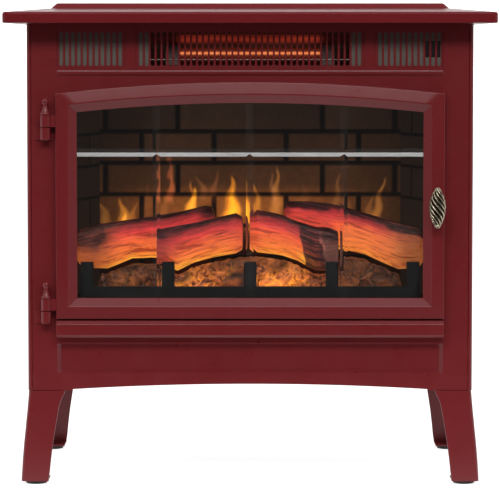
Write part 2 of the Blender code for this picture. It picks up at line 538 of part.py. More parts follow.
wheel = sheet("blower_wheel", [(FAN_Y + u, FAN_Z + v) for u, v in fins], [[(FAN_Y + u, FAN_Z + v) for u, v in core]], "X", -0.1540, 0.1540, "dark")
join(wheel,
     prism("fan_shaft", circle(FAN_Y, FAN_Z, 0.0030, 12), "X", -0.1690, 0.1800),
     box("spider_left_y", -0.1530, -0.1510, FAN_Y - 0.0160, FAN_Y + 0.0160, FAN_Z - 0.0020, FAN_Z + 0.0020),
     box("spider_left_z", -0.1528, -0.1512, FAN_Y - 0.0020, FAN_Y + 0.0020, FAN_Z - 0.0160, FAN_Z + 0.0160),
     box("spider_right_y", 0.1510, 0.1530, FAN_Y - 0.0160, FAN_Y + 0.0160, FAN_Z - 0.0020, FAN_Z + 0.0020),
     box("spider_right_z", 0.1512, 0.1528, FAN_Y - 0.0020, FAN_Y + 0.0020, FAN_Z - 0.0160, FAN_Z + 0.0160))
fan_motor = prism("blower_motor", circle(FAN_Y, FAN_Z, 0.0210, 20), "X", 0.1700, 0.2050, "dark")
cut(fan_motor, prism("fan_motor_bore", circle(FAN_Y, FAN_Z, 0.0036, 12), "X", 0.160, 0.1830))
join(fan_motor, box("fan_motor_foot", 0.1740, 0.2020, 0.0150, 0.0450, 0.5078, 0.5220))

# ---------------------------------------------------------------- controls
BUTTONS = (("button_power", -0.210), ("button_heat", -0.185), ("button_flame", -0.160))
sheet("control_panel", rounded(-0.185, 0.520, 0.055, 0.025, 0.003, 2),
      [rounded(x, 0.520, 0.0046, 0.0046, 0.001, 1) for _, x in BUTTONS], "Y", 0.1548, 0.1572, "plastic")
circuit = box("control_board", -0.2300, -0.1400, 0.1400, 0.1416, 0.5050, 0.5350, "board")
for i, (x, z) in enumerate(((-0.2275, 0.5075), (-0.1425, 0.5075), (-0.2275, 0.5325), (-0.1425, 0.5325))):
    join(circuit, box("standoff_%d" % i, x - 0.002, x + 0.002, 0.1410, 0.1545, z - 0.002, z + 0.002))
for name, x in BUTTONS:
    join(circuit, box(name + "_switch", x - 0.003, x + 0.003, 0.1410, 0.1441, 0.517, 0.523))
    cap = box(name, x - 0.0041, x + 0.0041, 0.1500, 0.1588, 0.5159, 0.5241, "plastic")
    join(cap,
         box(name + "_flange", x - 0.0058, x + 0.0058, 0.1510, 0.1543, 0.5142, 0.5258),
         prism(name + "_stem", circle(x, 0.520, 0.0015, 10), "Y", 0.1460, 0.1505))
gland = [(0.0068, 0.1500), (0.0068, 0.1547), (0.0110, 0.1547), (0.0110, 0.1580), (0.0085, 0.1600),
         (0.0040, 0.1600), (0.0040, 0.1500)]
loft("cord_gland", [[(x, y, z) for x, z in circle(-0.225, 0.165, r, 16)] for r, y in gland], "rubber", hoop=True)

# moving nodes turn or slide about their own origins
ORIGINS = {
    "door_frame": (HINGE_X, HINGE_Y, 0.0), "door_glass": (HINGE_X, HINGE_Y, 0.0), "glass_retainer": (HINGE_X, HINGE_Y, 0.0),
    "door_handle": (HINGE_X, HINGE_Y, 0.0), "strike_plate": (HINGE_X, HINGE_Y, 0.0),
    "flame_rotor": (0.0, ROTOR_Y, ROTOR_Z), "blower_wheel": (0.0, FAN_Y, FAN_Z),
    "button_power": (-0.210, 0.1588, 0.520), "button_heat": (-0.185, 0.1588, 0.520), "button_flame": (-0.160, 0.1588, 0.520),
}
for name, at in ORIGINS.items():
    obj = bpy.data.objects[name]
    obj.data.transform(Matrix.Translation(Vector(at) * -1))
    obj.location = at
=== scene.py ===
import json
import bpy
import bmesh
import numpy as np
from math import cos, sin, pi, radians, sqrt, exp, tan, atan2
from mathutils import Matrix, Vector, noise

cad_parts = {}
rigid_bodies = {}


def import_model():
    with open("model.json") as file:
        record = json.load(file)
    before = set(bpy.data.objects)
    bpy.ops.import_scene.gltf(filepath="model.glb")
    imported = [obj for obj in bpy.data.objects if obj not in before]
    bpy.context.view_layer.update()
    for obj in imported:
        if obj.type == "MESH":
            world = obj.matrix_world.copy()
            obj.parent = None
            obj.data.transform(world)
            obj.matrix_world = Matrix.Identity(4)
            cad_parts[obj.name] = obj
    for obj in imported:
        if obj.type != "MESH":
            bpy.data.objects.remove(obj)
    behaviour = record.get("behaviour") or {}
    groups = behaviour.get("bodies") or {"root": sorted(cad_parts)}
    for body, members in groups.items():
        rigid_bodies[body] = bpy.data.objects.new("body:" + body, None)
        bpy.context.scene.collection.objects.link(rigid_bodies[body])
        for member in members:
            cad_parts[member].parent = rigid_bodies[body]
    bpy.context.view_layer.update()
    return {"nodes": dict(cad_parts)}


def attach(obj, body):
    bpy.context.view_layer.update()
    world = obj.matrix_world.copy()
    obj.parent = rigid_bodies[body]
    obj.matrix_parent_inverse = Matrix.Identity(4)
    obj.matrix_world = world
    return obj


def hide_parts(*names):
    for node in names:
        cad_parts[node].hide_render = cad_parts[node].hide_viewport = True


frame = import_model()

SHEET = 0.0009
SC = bpy.context.scene
LOOKS = bpy.data.collections.new("looks")
TOOLS = bpy.data.collections.new("scratch")
SC.collection.children.link(LOOKS)
SC.collection.children.link(TOOLS)


def lin(*rgb):
    """8-bit sRGB to linear."""
    return tuple(((c / 255 + 0.055) / 1.055) ** 2.4 if c > 10 else c / 255 / 12.92 for c in rgb)


# =====================================================================
# mesh helpers
# =====================================================================
def solid(name, verts, faces, tool=False):
    data = bpy.data.meshes.new(name)
    data.from_pydata([tuple(v) for v in verts], [], faces)
    bm = bmesh.new()
    bm.from_mesh(data)
    bmesh.ops.recalc_face_normals(bm, faces=bm.faces)
    bm.to_mesh(data)
    bm.free()
    obj = bpy.data.objects.new(name, data)
    (TOOLS if tool else LOOKS).objects.link(obj)
    return obj


def loft(name, rings, hoop=False, caps=True, tool=False):
    n, verts, faces = len(rings[0]), [], []
    for ring in rings:
        verts += ring
    for k in range(len(rings) if hoop else len(rings) - 1):
        a, b = k * n, ((k + 1) % len(rings)) * n
        for i in range(n):
            j = (i + 1) % n
            faces.append((a + i, a + j, b + j, b + i))
    if caps and not hoop:
        faces.append(tuple(range(n)))
        faces.append(tuple(range((len(rings) - 1) * n, len(rings) * n)))
    return solid(name, verts, faces, tool)


def put(axis, u, v, w):
    return {"X": (w, u, v), "Y": (u, w, v), "Z": (u, v, w)}[axis]


def prism(name, outline, axis, a, b, tool=False):
    return loft(name, [[put(axis, u, v, w) for u, v in outline] for w in (a, b)], tool=tool)


def box(name, x0, x1, y0, y1, z0, z1, tool=False):
    return prism(name, [(x0, y0), (x1, y0), (x1, y1), (x0, y1)], "Z", z0, z1, tool)


def circle(cu, cv, r, n=32, turn=0.0):
    return [(cu + r * cos(2 * pi * (i + turn) / n), cv + r * sin(2 * pi * (i + turn) / n)) for i in range(n)]


def rounded(cu, cv, hu, hv, r, n=6):
    pts = []
    for su, sv, start in ((1, 1, 0), (-1, 1, 90), (-1, -1, 180), (1, -1, 270)):
        for i in range(n + 1):
            a = radians(start + 90 * i / n)
            pts.append((cu + su * (hu - r) + r * cos(a), cv + sv * (hv - r) + r * sin(a)))
    return pts


def sheet(name, outer, holes, axis, a, b, tool=False):
    data = bpy.data.curves.new(name, "CURVE")
    data.dimensions, data.fill_mode, data.extrude = "2D", "BOTH", abs(b - a) / 2
    for loop in [outer] + holes:
        spline = data.splines.new("POLY")
        spline.points.add(len(loop) - 1)
        for point, (u, v) in zip(spline.points, loop):
            point.co = (u, v, 0.0, 1.0)
        spline.use_cyclic_u = True
    curve = bpy.data.objects.new(name + "_outline", data)
    TOOLS.objects.link(curve)
    bpy.context.view_layer.update()
    mesh = bpy.data.meshes.new_from_object(curve)
    bpy.data.objects.remove(curve)
    mid = (a + b) / 2
    turn = {
        "Z": Matrix.Translation((0, 0, mid)),
        "Y": Matrix.Translation((0, mid, 0)) @ Matrix.Rotation(pi / 2, 4, "X"),
        "X": Matrix.Translation((mid, 0, 0)) @ Matrix(((0, 0, 1, 0), (1, 0, 0, 0), (0, 1, 0, 0), (0, 0, 0, 1))),
    }[axis]
    mesh.transform(turn)
    bm = bmesh.new()
    bm.from_mesh(mesh)
    bmesh.ops.remove_doubles(bm, verts=bm.verts, dist=1e-6)
    bmesh.ops.recalc_face_normals(bm, faces=bm.faces)
    flat = [e for e in bm.edges if len(e.link_faces) == 2 and e.calc_face_angle() < 0.001]
    bmesh.ops.dissolve_limit(bm, angle_limit=0.0005, verts=[], edges=flat)
    bm.to_mesh(mesh)
    bm.free()
    mesh.materials.clear()
    obj = bpy.data.objects.new(name, mesh)
    (TOOLS if tool else LOOKS).objects.link(obj)
    return obj


def combine(obj, how, *others):
    for other in others:
        mod = obj.modifiers.new(how.lower() + "_" + other.name, "BOOLEAN")
        mod.operation, mod.solver, mod.object = how, "EXACT", other
    return obj


def join(obj, *others):
    return combine(obj, "UNION", *others)


def cut(obj, *others):
    return combine(obj, "DIFFERENCE", *others)


def bevel(obj, width, segments=2, angle=30):
    mod = obj.modifiers.new("edge", "BEVEL")
    mod.width, mod.segments, mod.limit_method, mod.angle_limit = width, segments, "ANGLE", radians(angle)
    mod.use_clamp_overlap = True
    mod.miter_outer = "MITER_ARC"
    return obj


def settle(obj, angle=32):
    """Modifiers into the mesh, then smooth shading with sharp edges kept."""
    bpy.context.view_layer.update()
    dg = bpy.context.evaluated_depsgraph_get()
    mesh = bpy.data.meshes.new_from_object(obj.evaluated_get(dg), preserve_all_data_layers=True, depsgraph=dg)
    obj.modifiers.clear()
    obj.data = mesh
    mesh.name = obj.name
    mesh.materials.clear()
    mesh.polygons.foreach_set("use_smooth", [True] * len(mesh.polygons))
    mesh.set_sharp_from_angle(angle=radians(angle))
    even = obj.modifiers.new("even", "WEIGHTED_NORMAL")
    even.keep_sharp, even.weight = True, 90
    bpy.context.view_layer.update()
    dg = bpy.context.evaluated_depsgraph_get()
    mesh = bpy.data.meshes.new_from_object(obj.evaluated_get(dg), preserve_all_data_layers=True, depsgraph=dg)
    obj.modifiers.clear()
    obj.data = mesh
    mesh.name = obj.name
    return obj


def tube(points, radius, sides, cap=True, turn=0.0):
    verts, faces, n, up = [], [], len(points), None
    for k, p in enumerate(points):
        ahead = (Vector(points[min(k + 1, n - 1)]) - Vector(points[max(k - 1, 0)])).normalized()
        if up is None:
            up = ahead.orthogonal().normalized()
        up = (up - ahead * up.dot(ahead)).normalized()
        across = ahead.cross(up)
        r = radius(k / (n - 1)) if callable(radius) else radius
        for i in range(sides):
            a = 2 * pi * i / sides + turn
            verts.append(Vector(p) + up * (r * cos(a)) + across * (r * sin(a)))
    for k in range(n - 1):
        for i in range(sides):
            j = (i + 1) % sides
            faces.append((k * sides + i, k * sides + j, (k + 1) * sides + j, (k + 1) * sides + i))
    if cap:
        faces.append(tuple(range(sides)))
        faces.append(tuple(range((n - 1) * sides, n * sides)))
    return verts, faces


def interp(x, pts, k=1):
    """Piecewise-linear value of column k at x."""
    if x <= pts[0][0]:
        return pts[0][k]
    for a, b in zip(pts, pts[1:]):
        if x <= b[0]:
            f = (x - a[0]) / (b[0] - a[0])
            return a[k] * (1 - f) + b[k] * f
    return pts[-1][k]


def smooth(e0, e1, x):
    t = min(1.0, max(0.0, (x - e0) / (e1 - e0)))
    return t * t * (3 - 2 * t)


def mixc(a, b, t):
    return tuple(p * (1 - t) + q * t for p, q in zip(a, b))


# =====================================================================
# materials
# =====================================================================
class Mat:
    """A Principled material with a few node shortcuts."""

    def __init__(self, name, color=(0.5, 0.5, 0.5), rough=0.5, metal=0.0, **sockets):
        self.m = bpy.data.materials.new(name)
        self.m.use_nodes = True
        self.t = self.m.node_tree
        self.b = self.t.nodes["Principled BSDF"]
        self.b.inputs["Base Color"].default_value = (*color, 1)
        self.b.inputs["Roughness"].default_value = rough
        self.b.inputs["Metallic"].default_value = metal
        for k, v in sockets.items():
            self.b.inputs[k.replace("_", " ")].default_value = v
        self.co = self.node("ShaderNodeTexCoord").outputs["Object"]

    def node(self, kind, **props):
        n = self.t.nodes.new(kind)
        for k, v in props.items():
            setattr(n, k, v)
        return n

    def link(self, a, b):
        self.t.links.new(a, b)

    def mapped(self, scale=(1, 1, 1), rot=(0, 0, 0), loc=(0, 0, 0)):
        n = self.node("ShaderNodeMapping")
        n.inputs["Scale"].default_value = scale
        n.inputs["Rotation"].default_value = rot
        n.inputs["Location"].default_value = loc
        self.link(self.co, n.inputs["Vector"])
        return n.outputs["Vector"]

    def noise(self, scale, detail=3, rough=0.5, vec=None, dist=0.0):
        n = self.node("ShaderNodeTexNoise")
        n.inputs["Scale"].default_value = scale
        n.inputs["Detail"].default_value = detail
        n.inputs["Roughness"].default_value = rough
        n.inputs["Distortion"].default_value = dist
        self.link(vec or self.co, n.inputs["Vector"])
        return n.outputs["Fac"]

    def voronoi(self, scale, vec=None, feature="F1"):
        n = self.node("ShaderNodeTexVoronoi", feature=feature)
        n.inputs["Scale"].default_value = scale
        self.link(vec or self.co, n.inputs["Vector"])
        return n.outputs["Distance"]

    def ramp(self, fac, stops, mode="LINEAR"):
        n = self.node("ShaderNodeValToRGB")
        n.color_ramp.interpolation = mode
        els = n.color_ramp.elements
        while len(els) < len(stops):
            els.new(0.5)
        for e, (p, c) in zip(els, stops):
            e.position, e.color = p, (*c, 1) if len(c) == 3 else c
        self.link(fac, n.inputs["Fac"])
        return n.outputs["Color"]

    def range(self, fac, a0, a1, b0, b1):
        n = self.node("ShaderNodeMapRange")
        for k, v in (("From Min", a0), ("From Max", a1), ("To Min", b0), ("To Max", b1)):
            n.inputs[k].default_value = v
        self.link(fac, n.inputs["Value"])
        return n.outputs["Result"]

    def mix(self, fac, a, b, blend="MIX"):
        n = self.node("ShaderNodeMix", data_type="RGBA", blend_type=blend)
        f, a_in, b_in = n.inputs[0], n.inputs[6], n.inputs[7]
        for s, v in ((f, fac), (a_in, a), (b_in, b)):
            if isinstance(v, (int, float)):
                s.default_value = v
            elif isinstance(v, tuple):
                s.default_value = (*v, 1)
            else:
                self.link(v, s)
        return n.outputs[2]

    def math(self, op, a, b=0.0):
        n = self.node("ShaderNodeMath", operation=op)
        for s, v in ((n.inputs[0], a), (n.inputs[1], b)):
            if isinstance(v, (int, float)):
                s.default_value = v
            else:
                self.link(v, s)
        return n.outputs[0]

    def attr(self, name):
        return self.node("ShaderNodeAttribute", attribute_name=name)

    def bump(self, height, strength, distance, after=None):
        n = self.node("ShaderNodeBump")
        n.inputs["Strength"].default_value = strength
        n.inputs["Distance"].default_value = distance
        self.link(height, n.inputs["Height"])
        if after is not None:
            self.link(after, n.inputs["Normal"])
        return n.outputs["Normal"]

    def wire(self, color=None, rough=None, normal=None, emission=None, strength=None, metal=None):
        for name, out in (("Base Color", color), ("Roughness", rough), ("Normal", normal), ("Emission Color", emission), ("Metallic", metal)):
            if out is not None:
                self.link(out, self.b.inputs[name])
        if strength is not None:
            self.b.inputs["Emission Strength"].default_value = strength
        return self.m


def paint(name, a, b, rough=(0.27, 0.34), peel=0.05, spec=0.30):
    """Satin powder coat: faint cloudiness, mottling and orange peel."""
    m = Mat(name, a, rough[0])
    m.b.inputs["Specular IOR Level"].default_value = spec
    cloud = m.noise(7.0, 4, 0.55)
    col = m.ramp(cloud, [(0.30, a), (0.70, b)])
    mottle = m.noise(85.0, 3, 0.6)
    col = m.mix(m.range(mottle, 0.40, 0.72, 0.0, 0.30), col, tuple(min(1, c * 1.12 + 0.0006) for c in b))
    r = m.range(m.noise(38.0, 3, 0.6), 0.3, 0.7, rough[0], rough[1])
    n = m.bump(m.noise(330.0, 2, 0.5), peel, 0.0005)
    return m.wire(color=col, rough=r, normal=n)


RED_A, RED_B = (0.117, 0.0088, 0.0108), (0.129, 0.0105, 0.0128)
M = {}
M["red_paint"] = paint("red_paint", RED_A, RED_B)
M["red_top"] = paint("red_paint_top", RED_A, RED_B, spec=0.10)
# painted shade: a darker copy of the red paint, for recesses that lie in shade
M["red_deep"] = paint("red_paint_painted_shade", (0.110, 0.0082, 0.0100), (0.120, 0.0095, 0.0115))
M["black_paint"] = paint("black_paint", (0.0062, 0.0068, 0.0074), (0.0105, 0.0112, 0.0120), (0.45, 0.6), 0.15)
M["firebox_black"] = paint("firebox_black", (0.0060, 0.0042, 0.0035), (0.0095, 0.0062, 0.0050), (0.6, 0.75), 0.2, 0.2)
M["grey_paint"] = paint("grey_paint", (0.078, 0.062, 0.052), (0.094, 0.076, 0.064), (0.5, 0.6), 0.12)


def metal(name, a, b, rough, stretch=(1, 1, 1), spots=None):
    m = Mat(name, a, rough[0], 1.0)
    v = m.mapped(stretch)
    n1 = m.noise(240.0, 4, 0.6, v)
    col = m.ramp(n1, [(0.30, a), (0.72, b)])
    if spots:
        col = m.mix(m.range(m.noise(90.0, 4, 0.7), 0.50, 0.66, 0.0, 0.75), col, spots)
    return m.wire(color=col, rough=m.range(n1, 0.3, 0.7, rough[0], rough[1]), normal=m.bump(n1, 0.12, 0.0003))


M["zinc_plate"] = metal("zinc_plate", (0.40, 0.41, 0.42), (0.60, 0.61, 0.62), (0.28, 0.42), (1, 1, 1))
M["dull_wire"] = metal("dull_wire", (0.10, 0.085, 0.075), (0.20, 0.17, 0.15), (0.40, 0.55), (0.2, 1, 1))
M["core_painted_shade"] = metal("core_painted_shade", (0.012, 0.009, 0.006), (0.034, 0.026, 0.018), (0.45, 0.6))
M["bright_reflector"] = metal("bright_reflector", (0.78, 0.76, 0.73), (0.88, 0.87, 0.85), (0.10, 0.20), (0.05, 1, 1))
M["antique_silver"] = metal("antique_silver", (0.26, 0.22, 0.15), (0.52, 0.46, 0.34), (0.20, 0.34), (1, 1, 1), (0.035, 0.028, 0.020))

glass = Mat("clear_glass", (0.97, 0.975, 0.97), 0.0, 0.0)
glass.b.inputs["Transmission Weight"].default_value = 1.0
glass.b.inputs["IOR"].default_value = 1.48
g = glass.noise(9.0, 3)
glass.wire(color=glass.ramp(g, [(0.3, (0.955, 0.965, 0.955)), (0.7, (0.985, 0.99, 0.985))]), rough=glass.range(g, 0.3, 0.7, 0.0, 0.002))
M["clear_glass"] = glass.m
# frosted groove facets: the frost is real, but only the upward-facing facets get the whitish, barely clear frost, a
# painted reflection of the bright light above; the other facets get near-clear glass with a faint frost
for key, tone, through in (("groove_painted_reflection", 0.34, 0.30), ("groove_side", 0.20, 0.994)):
    gm = Mat(key, (tone, tone, tone * 0.98), 0.12)
    gm.b.inputs["Transmission Weight"].default_value = through
    gm.b.inputs["IOR"].default_value = 1.48
    g = gm.noise(60.0, 3, 0.5, gm.mapped((0.3, 1, 1)))
    if through < 0.5:
        col = gm.ramp(g, [(0.3, (tone * 0.88, tone * 0.87, tone * 0.85)), (0.7, (tone * 1.1, tone * 1.09, tone * 1.07))])
    else:
        col = gm.ramp(g, [(0.3, (0.90, 0.89, 0.88)), (0.7, (0.95, 0.94, 0.93))])
    lo = 0.08 if through < 0.5 else 0.0
    M[key] = gm.wire(color=col, rough=gm.range(g, 0.3, 0.7, lo, lo + 0.03))

quartz = Mat("quartz_glass", (0.9, 0.45, 0.25), 0.08)
hot = quartz.attr("glow").outputs["Color"]
grain = quartz.noise(500.0, 2, 0.5, quartz.mapped((1, 0.2, 0.2)))
quartz.wire(color=quartz.ramp(grain, [(0.2, (0.35, 0.08, 0.03)), (0.8, (0.75, 0.30, 0.12))]),
            emission=quartz.mix(1.0, hot, quartz.ramp(grain, [(0.25, (0.70, 0.70, 0.70)), (0.75, (1.0, 1.0, 1.0))]), "MULTIPLY"), strength=1.0)
M["quartz_glass"] = quartz.m

# reflector liner: dull dark metal, with a painted reflection of the glowing coil as red emission along its upper and
# lower bends, fading towards the ends
liner = Mat("reflector_painted_reflection", (0.10, 0.07, 0.06), 0.42, 1.0)
g = liner.noise(90.0, 4, 0.6, liner.mapped((0.25, 1, 1)))
sep = liner.node("ShaderNodeSeparateXYZ")
liner.link(liner.co, sep.inputs[0])
band = liner.range(liner.math("ABSOLUTE", liner.math("SUBTRACT", sep.outputs[2], 0.5575)), 0.0020, 0.0065, 1.0, 0.0)
low = liner.range(liner.math("ABSOLUTE", liner.math("SUBTRACT", sep.outputs[2], 0.5350)), 0.0010, 0.0060, 0.55, 0.0)
ends = liner.range(liner.math("ABSOLUTE", sep.outputs[0]), 0.084, 0.094, 1.0, 0.06)
coil_reflection_amount = liner.math("MULTIPLY", liner.math("ADD", band, low), ends)
coil_reflection_color = liner.ramp(g, [(0.3, lin(84, 20, 13)), (0.7, lin(128, 40, 26))])
liner.wire(color=liner.ramp(g, [(0.3, (0.05, 0.035, 0.030)), (0.7, (0.16, 0.12, 0.10))]), rough=liner.range(g, 0.3, 0.7, 0.35, 0.5),
           emission=liner.mix(coil_reflection_amount, (0.004, 0.001, 0.001), coil_reflection_color), strength=1.0)
M["reflector_painted_reflection"] = liner.m

coil = Mat("hot_filament", (0.5, 0.1, 0.03), 0.4)
g = coil.noise(300.0, 2)
coil.wire(emission=coil.ramp(g, [(0.3, (1.0, 0.26, 0.05)), (0.7, (1.0, 0.42, 0.10))]), strength=3.0)
M["hot_filament"] = coil.m

# painted shade: the white ceramic end blocks are coloured dark brown, as they sit in shade behind the louvres
cer = Mat("white_ceramic", (0.72, 0.69, 0.63), 0.6)
g = cer.noise(180.0, 4)
cer.wire(color=cer.ramp(g, [(0.3, (0.075, 0.050, 0.045)), (0.7, (0.135, 0.095, 0.085))]), rough=cer.range(g, 0.3, 0.7, 0.5, 0.7), normal=cer.bump(g, 0.2, 0.0004))
M["white_ceramic"] = cer.m

rub = Mat("foot_rubber", (0.012, 0.012, 0.012), 0.7)
g = rub.noise(420.0, 3)
rub.wire(color=rub.ramp(g, [(0.3, (0.008, 0.008, 0.008)), (0.7, (0.022, 0.021, 0.020))]), rough=rub.range(g, 0.3, 0.7, 0.6, 0.82), normal=rub.bump(g, 0.3, 0.0003))
M["foot_rubber"] = rub.m

pcb = Mat("circuit_laminate", (0.02, 0.10, 0.04), 0.4)
g = pcb.noise(150.0, 3)
pcb.wire(color=pcb.ramp(g, [(0.3, (0.010, 0.070, 0.026)), (0.7, (0.022, 0.115, 0.045))]), rough=pcb.range(g, 0.3, 0.7, 0.32, 0.45))
M["circuit_laminate"] = pcb.m

pla = Mat("black_plastic", (0.015, 0.015, 0.016), 0.45)
g = pla.noise(1100.0, 2)
pla.wire(color=pla.ramp(pla.noise(24.0, 3), [(0.3, (0.012, 0.012, 0.013)), (0.7, (0.021, 0.021, 0.022))]), rough=pla.range(g, 0.3, 0.7, 0.38, 0.52), normal=pla.bump(g, 0.22, 0.0003))
M["black_plastic"] = pla.m

lens = Mat("dark_lens", (0.010, 0.006, 0.008), 0.06)
lens.b.inputs["Coat Weight"].default_value = 0.5
g = lens.noise(60.0, 3)
lens.wire(color=lens.ramp(g, [(0.3, (0.008, 0.005, 0.006)), (0.7, (0.016, 0.008, 0.011))]), rough=lens.range(g, 0.3, 0.7, 0.05, 0.10))
M["dark_lens"] = lens.m

# logs: bark and grain follow each log, over a glow that is worked out per vertex
logm = Mat("log_resin", (0.05, 0.02, 0.01), 0.6)
glow = logm.attr("glow").outputs["Color"]
place = logm.node("ShaderNodeSeparateXYZ")
logm.link(logm.attr("bark").outputs["Vector"], place.inputs[0])
char, height, which = place.outputs[0], place.outputs[1], place.outputs[2]
along = logm.node("ShaderNodeSeparateXYZ")
logm.link(logm.co, along.inputs[0])


def log_space(kx, kt, shift):
    n = logm.node("ShaderNodeCombineXYZ")
    logm.link(logm.math("MULTIPLY", along.outputs[0], kx), n.inputs[0])
    logm.link(logm.math("MULTIPLY", height, kt), n.inputs[1])
    logm.link(logm.math("ADD", logm.math("MULTIPLY", which, 7.0), shift), n.inputs[2])
    return n.outputs[0]


streak = logm.noise(1.0, 5, 0.60, log_space(26.0, 7.0, 0.0), 0.6)
fibre = logm.noise(1.0, 5, 0.68, log_space(34.0, 26.0, 3.0), 0.5)
knots = logm.noise(1.0, 4, 0.62, log_space(75.0, 5.0, 9.0), 0.3)
shade = logm.mix(1.0, logm.ramp(streak, [(0.35, (0.46, 0.26, 0.28)), (0.42, (0.84, 0.72, 0.74)), (0.49, (1.0, 0.98, 1.0)), (0.68, (1.14, 1.16, 1.10))]),
                 logm.ramp(fibre, [(0.36, (0.34, 0.20, 0.20)), (0.42, (0.80, 0.70, 0.70)), (0.49, (1.0, 0.98, 0.98)), (0.68, (1.16, 1.18, 1.10))]), "MULTIPLY")
burnt = logm.math("ADD", logm.math("MULTIPLY", streak, 0.75), logm.math("MULTIPLY", fibre, 0.55))
burnt = logm.math("ADD", burnt, logm.math("MULTIPLY", knots, 0.35))
burnt = logm.math("ADD", burnt, logm.math("MULTIPLY", char, 1.15))
burnt = logm.range(burnt, 1.18, 1.62, 0.0, 1.0)
barkc = logm.ramp(fibre, [(0.38, (0.004, 0.002, 0.002)), (0.50, (0.018, 0.011, 0.010)), (0.66, (0.085, 0.064, 0.058))])
base = logm.mix(burnt, (0.085, 0.030, 0.018), barkc)
nrm = logm.bump(streak, 0.7, 0.005)
nrm = logm.bump(fibre, 0.6, 0.0022, nrm)
lit = logm.mix(1.0, glow, shade, "MULTIPLY")
logm.wire(color=base, rough=logm.range(fibre, 0.3, 0.7, 0.40, 0.70), normal=nrm,
          emission=logm.mix(burnt, lit, logm.mix(1.0, lit, logm.ramp(fibre, [(0.40, (0.02, 0.01, 0.01)), (0.52, (0.10, 0.05, 0.06)), (0.66, (0.42, 0.22, 0.24))]), "MULTIPLY")), strength=1.0)
M["log_resin"] = logm.m

emb = Mat("ember_resin", (0.05, 0.02, 0.01), 0.6)
crack = emb.noise(95.0, 5, 0.62, None, 1.6)
glow = emb.attr("glow").outputs["Color"]
emb.wire(color=emb.ramp(crack, [(0.35, (0.020, 0.008, 0.004)), (0.7, (0.10, 0.04, 0.015))]),
         rough=emb.range(crack, 0.3, 0.7, 0.4, 0.7), normal=emb.bump(crack, 0.6, 0.002),
         emission=emb.mix(1.0, glow, emb.ramp(crack, [(0.38, (0.12, 0.06, 0.05)), (0.45, (0.60, 0.50, 0.45)), (0.53, (1.0, 1.0, 1.0)), (0.68, (1.35, 1.50, 1.3))]), "MULTIPLY"), strength=1.0)
M["ember_resin"] = emb.m

bri = Mat("brick_print", (0.02, 0.012, 0.008), 0.85)
rough_brick = bri.noise(130.0, 5, 0.65)
blot = bri.noise(22.0, 4, 0.6)
glow = bri.attr("glow").outputs["Color"]
clay = bri.attr("clay").outputs["Color"]
bri.b.inputs["Specular IOR Level"].default_value = 0.15
bri.wire(color=bri.mix(1.0, clay, bri.ramp(rough_brick, [(0.3, (0.7, 0.68, 0.66)), (0.7, (1.3, 1.3, 1.3))]), "MULTIPLY"),
         normal=bri.bump(rough_brick, 0.4, 0.0012), rough=bri.range(rough_brick, 0.3, 0.7, 0.75, 0.95),
         emission=bri.mix(1.0, glow, bri.ramp(blot, [(0.3, (0.78, 0.76, 0.74)), (0.7, (1.15, 1.15, 1.15))]), "MULTIPLY"), strength=1.0)
M["brick_print"] = bri.m


def dress(obj, body, slot, nodes=(), mat=None):
    obj.data.materials.clear()
    obj.data.materials.append(M[mat or slot])
    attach(obj, body)
    if nodes:
        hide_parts(*nodes)
    return obj


def paint_verts(obj, name, colors):
    layer = obj.data.color_attributes.new(name, "FLOAT_COLOR", "POINT")
    flat = np.ones((len(obj.data.vertices), 4), np.float32)
    flat[:, :3] = np.array(colors, np.float32)
    layer.data.foreach_set("color", flat.ravel())


# =====================================================================
# cabinet
# =====================================================================
def plan(hx, hy, r, z, n=8):
    return [(x, y, z) for x, y in rounded(0, 0, hx, hy, r, n)]


HX, HY = 0.305, 0.166
rings = [plan(0.2408, 0.1088, 0.0036, 0.6025), plan(0.2419, 0.1099, 0.0040, 0.60225), plan(0.2427, 0.1107, 0.0044, 0.6016)]
rings += [plan(0.2472, 0.1152, 0.0056, 0.5974), plan(0.2480, 0.1160, 0.0060, 0.5965), plan(0.2492, 0.1172, 0.0062, 0.59605)]
rings += [plan(HX - 0.0048, HY - 0.0048, 0.0050, 0.59135)]
for k in range(6):
    a = radians(8 + 82 * k / 5)
    rings.append(plan(HX - 0.0030 + 0.0030 * sin(a), HY - 0.0030 + 0.0030 * sin(a), 0.0050 + 0.0030 * sin(a), 0.5882 + 0.0030 * cos(a)))
for k in range(4):
    a = radians(90 * k / 3)
    rings.append(plan(HX - 0.0012 + 0.0012 * cos(a), HY - 0.0012 + 0.0012 * cos(a), 0.0068 + 0.0012 * cos(a), 0.5785 - 0.0012 * sin(a)))
rings += [plan(0.265, 0.113, 0.003, 0.5773), plan(0.265, 0.113, 0.003, 0.5783), plan(HX - 0.001, HY - 0.001, 0.007, 0.5783),
          plan(HX - 0.001, HY - 0.001, 0.007, 0.5870), plan(0.2476, 0.1156, 0.0056, 0.5951), plan(0.2412, 0.1092, 0.0036, 0.6015)]
dress(settle(loft("mantel", rings), 24), "cabinet", "red_paint", ["mantel_top"], mat="red_top")

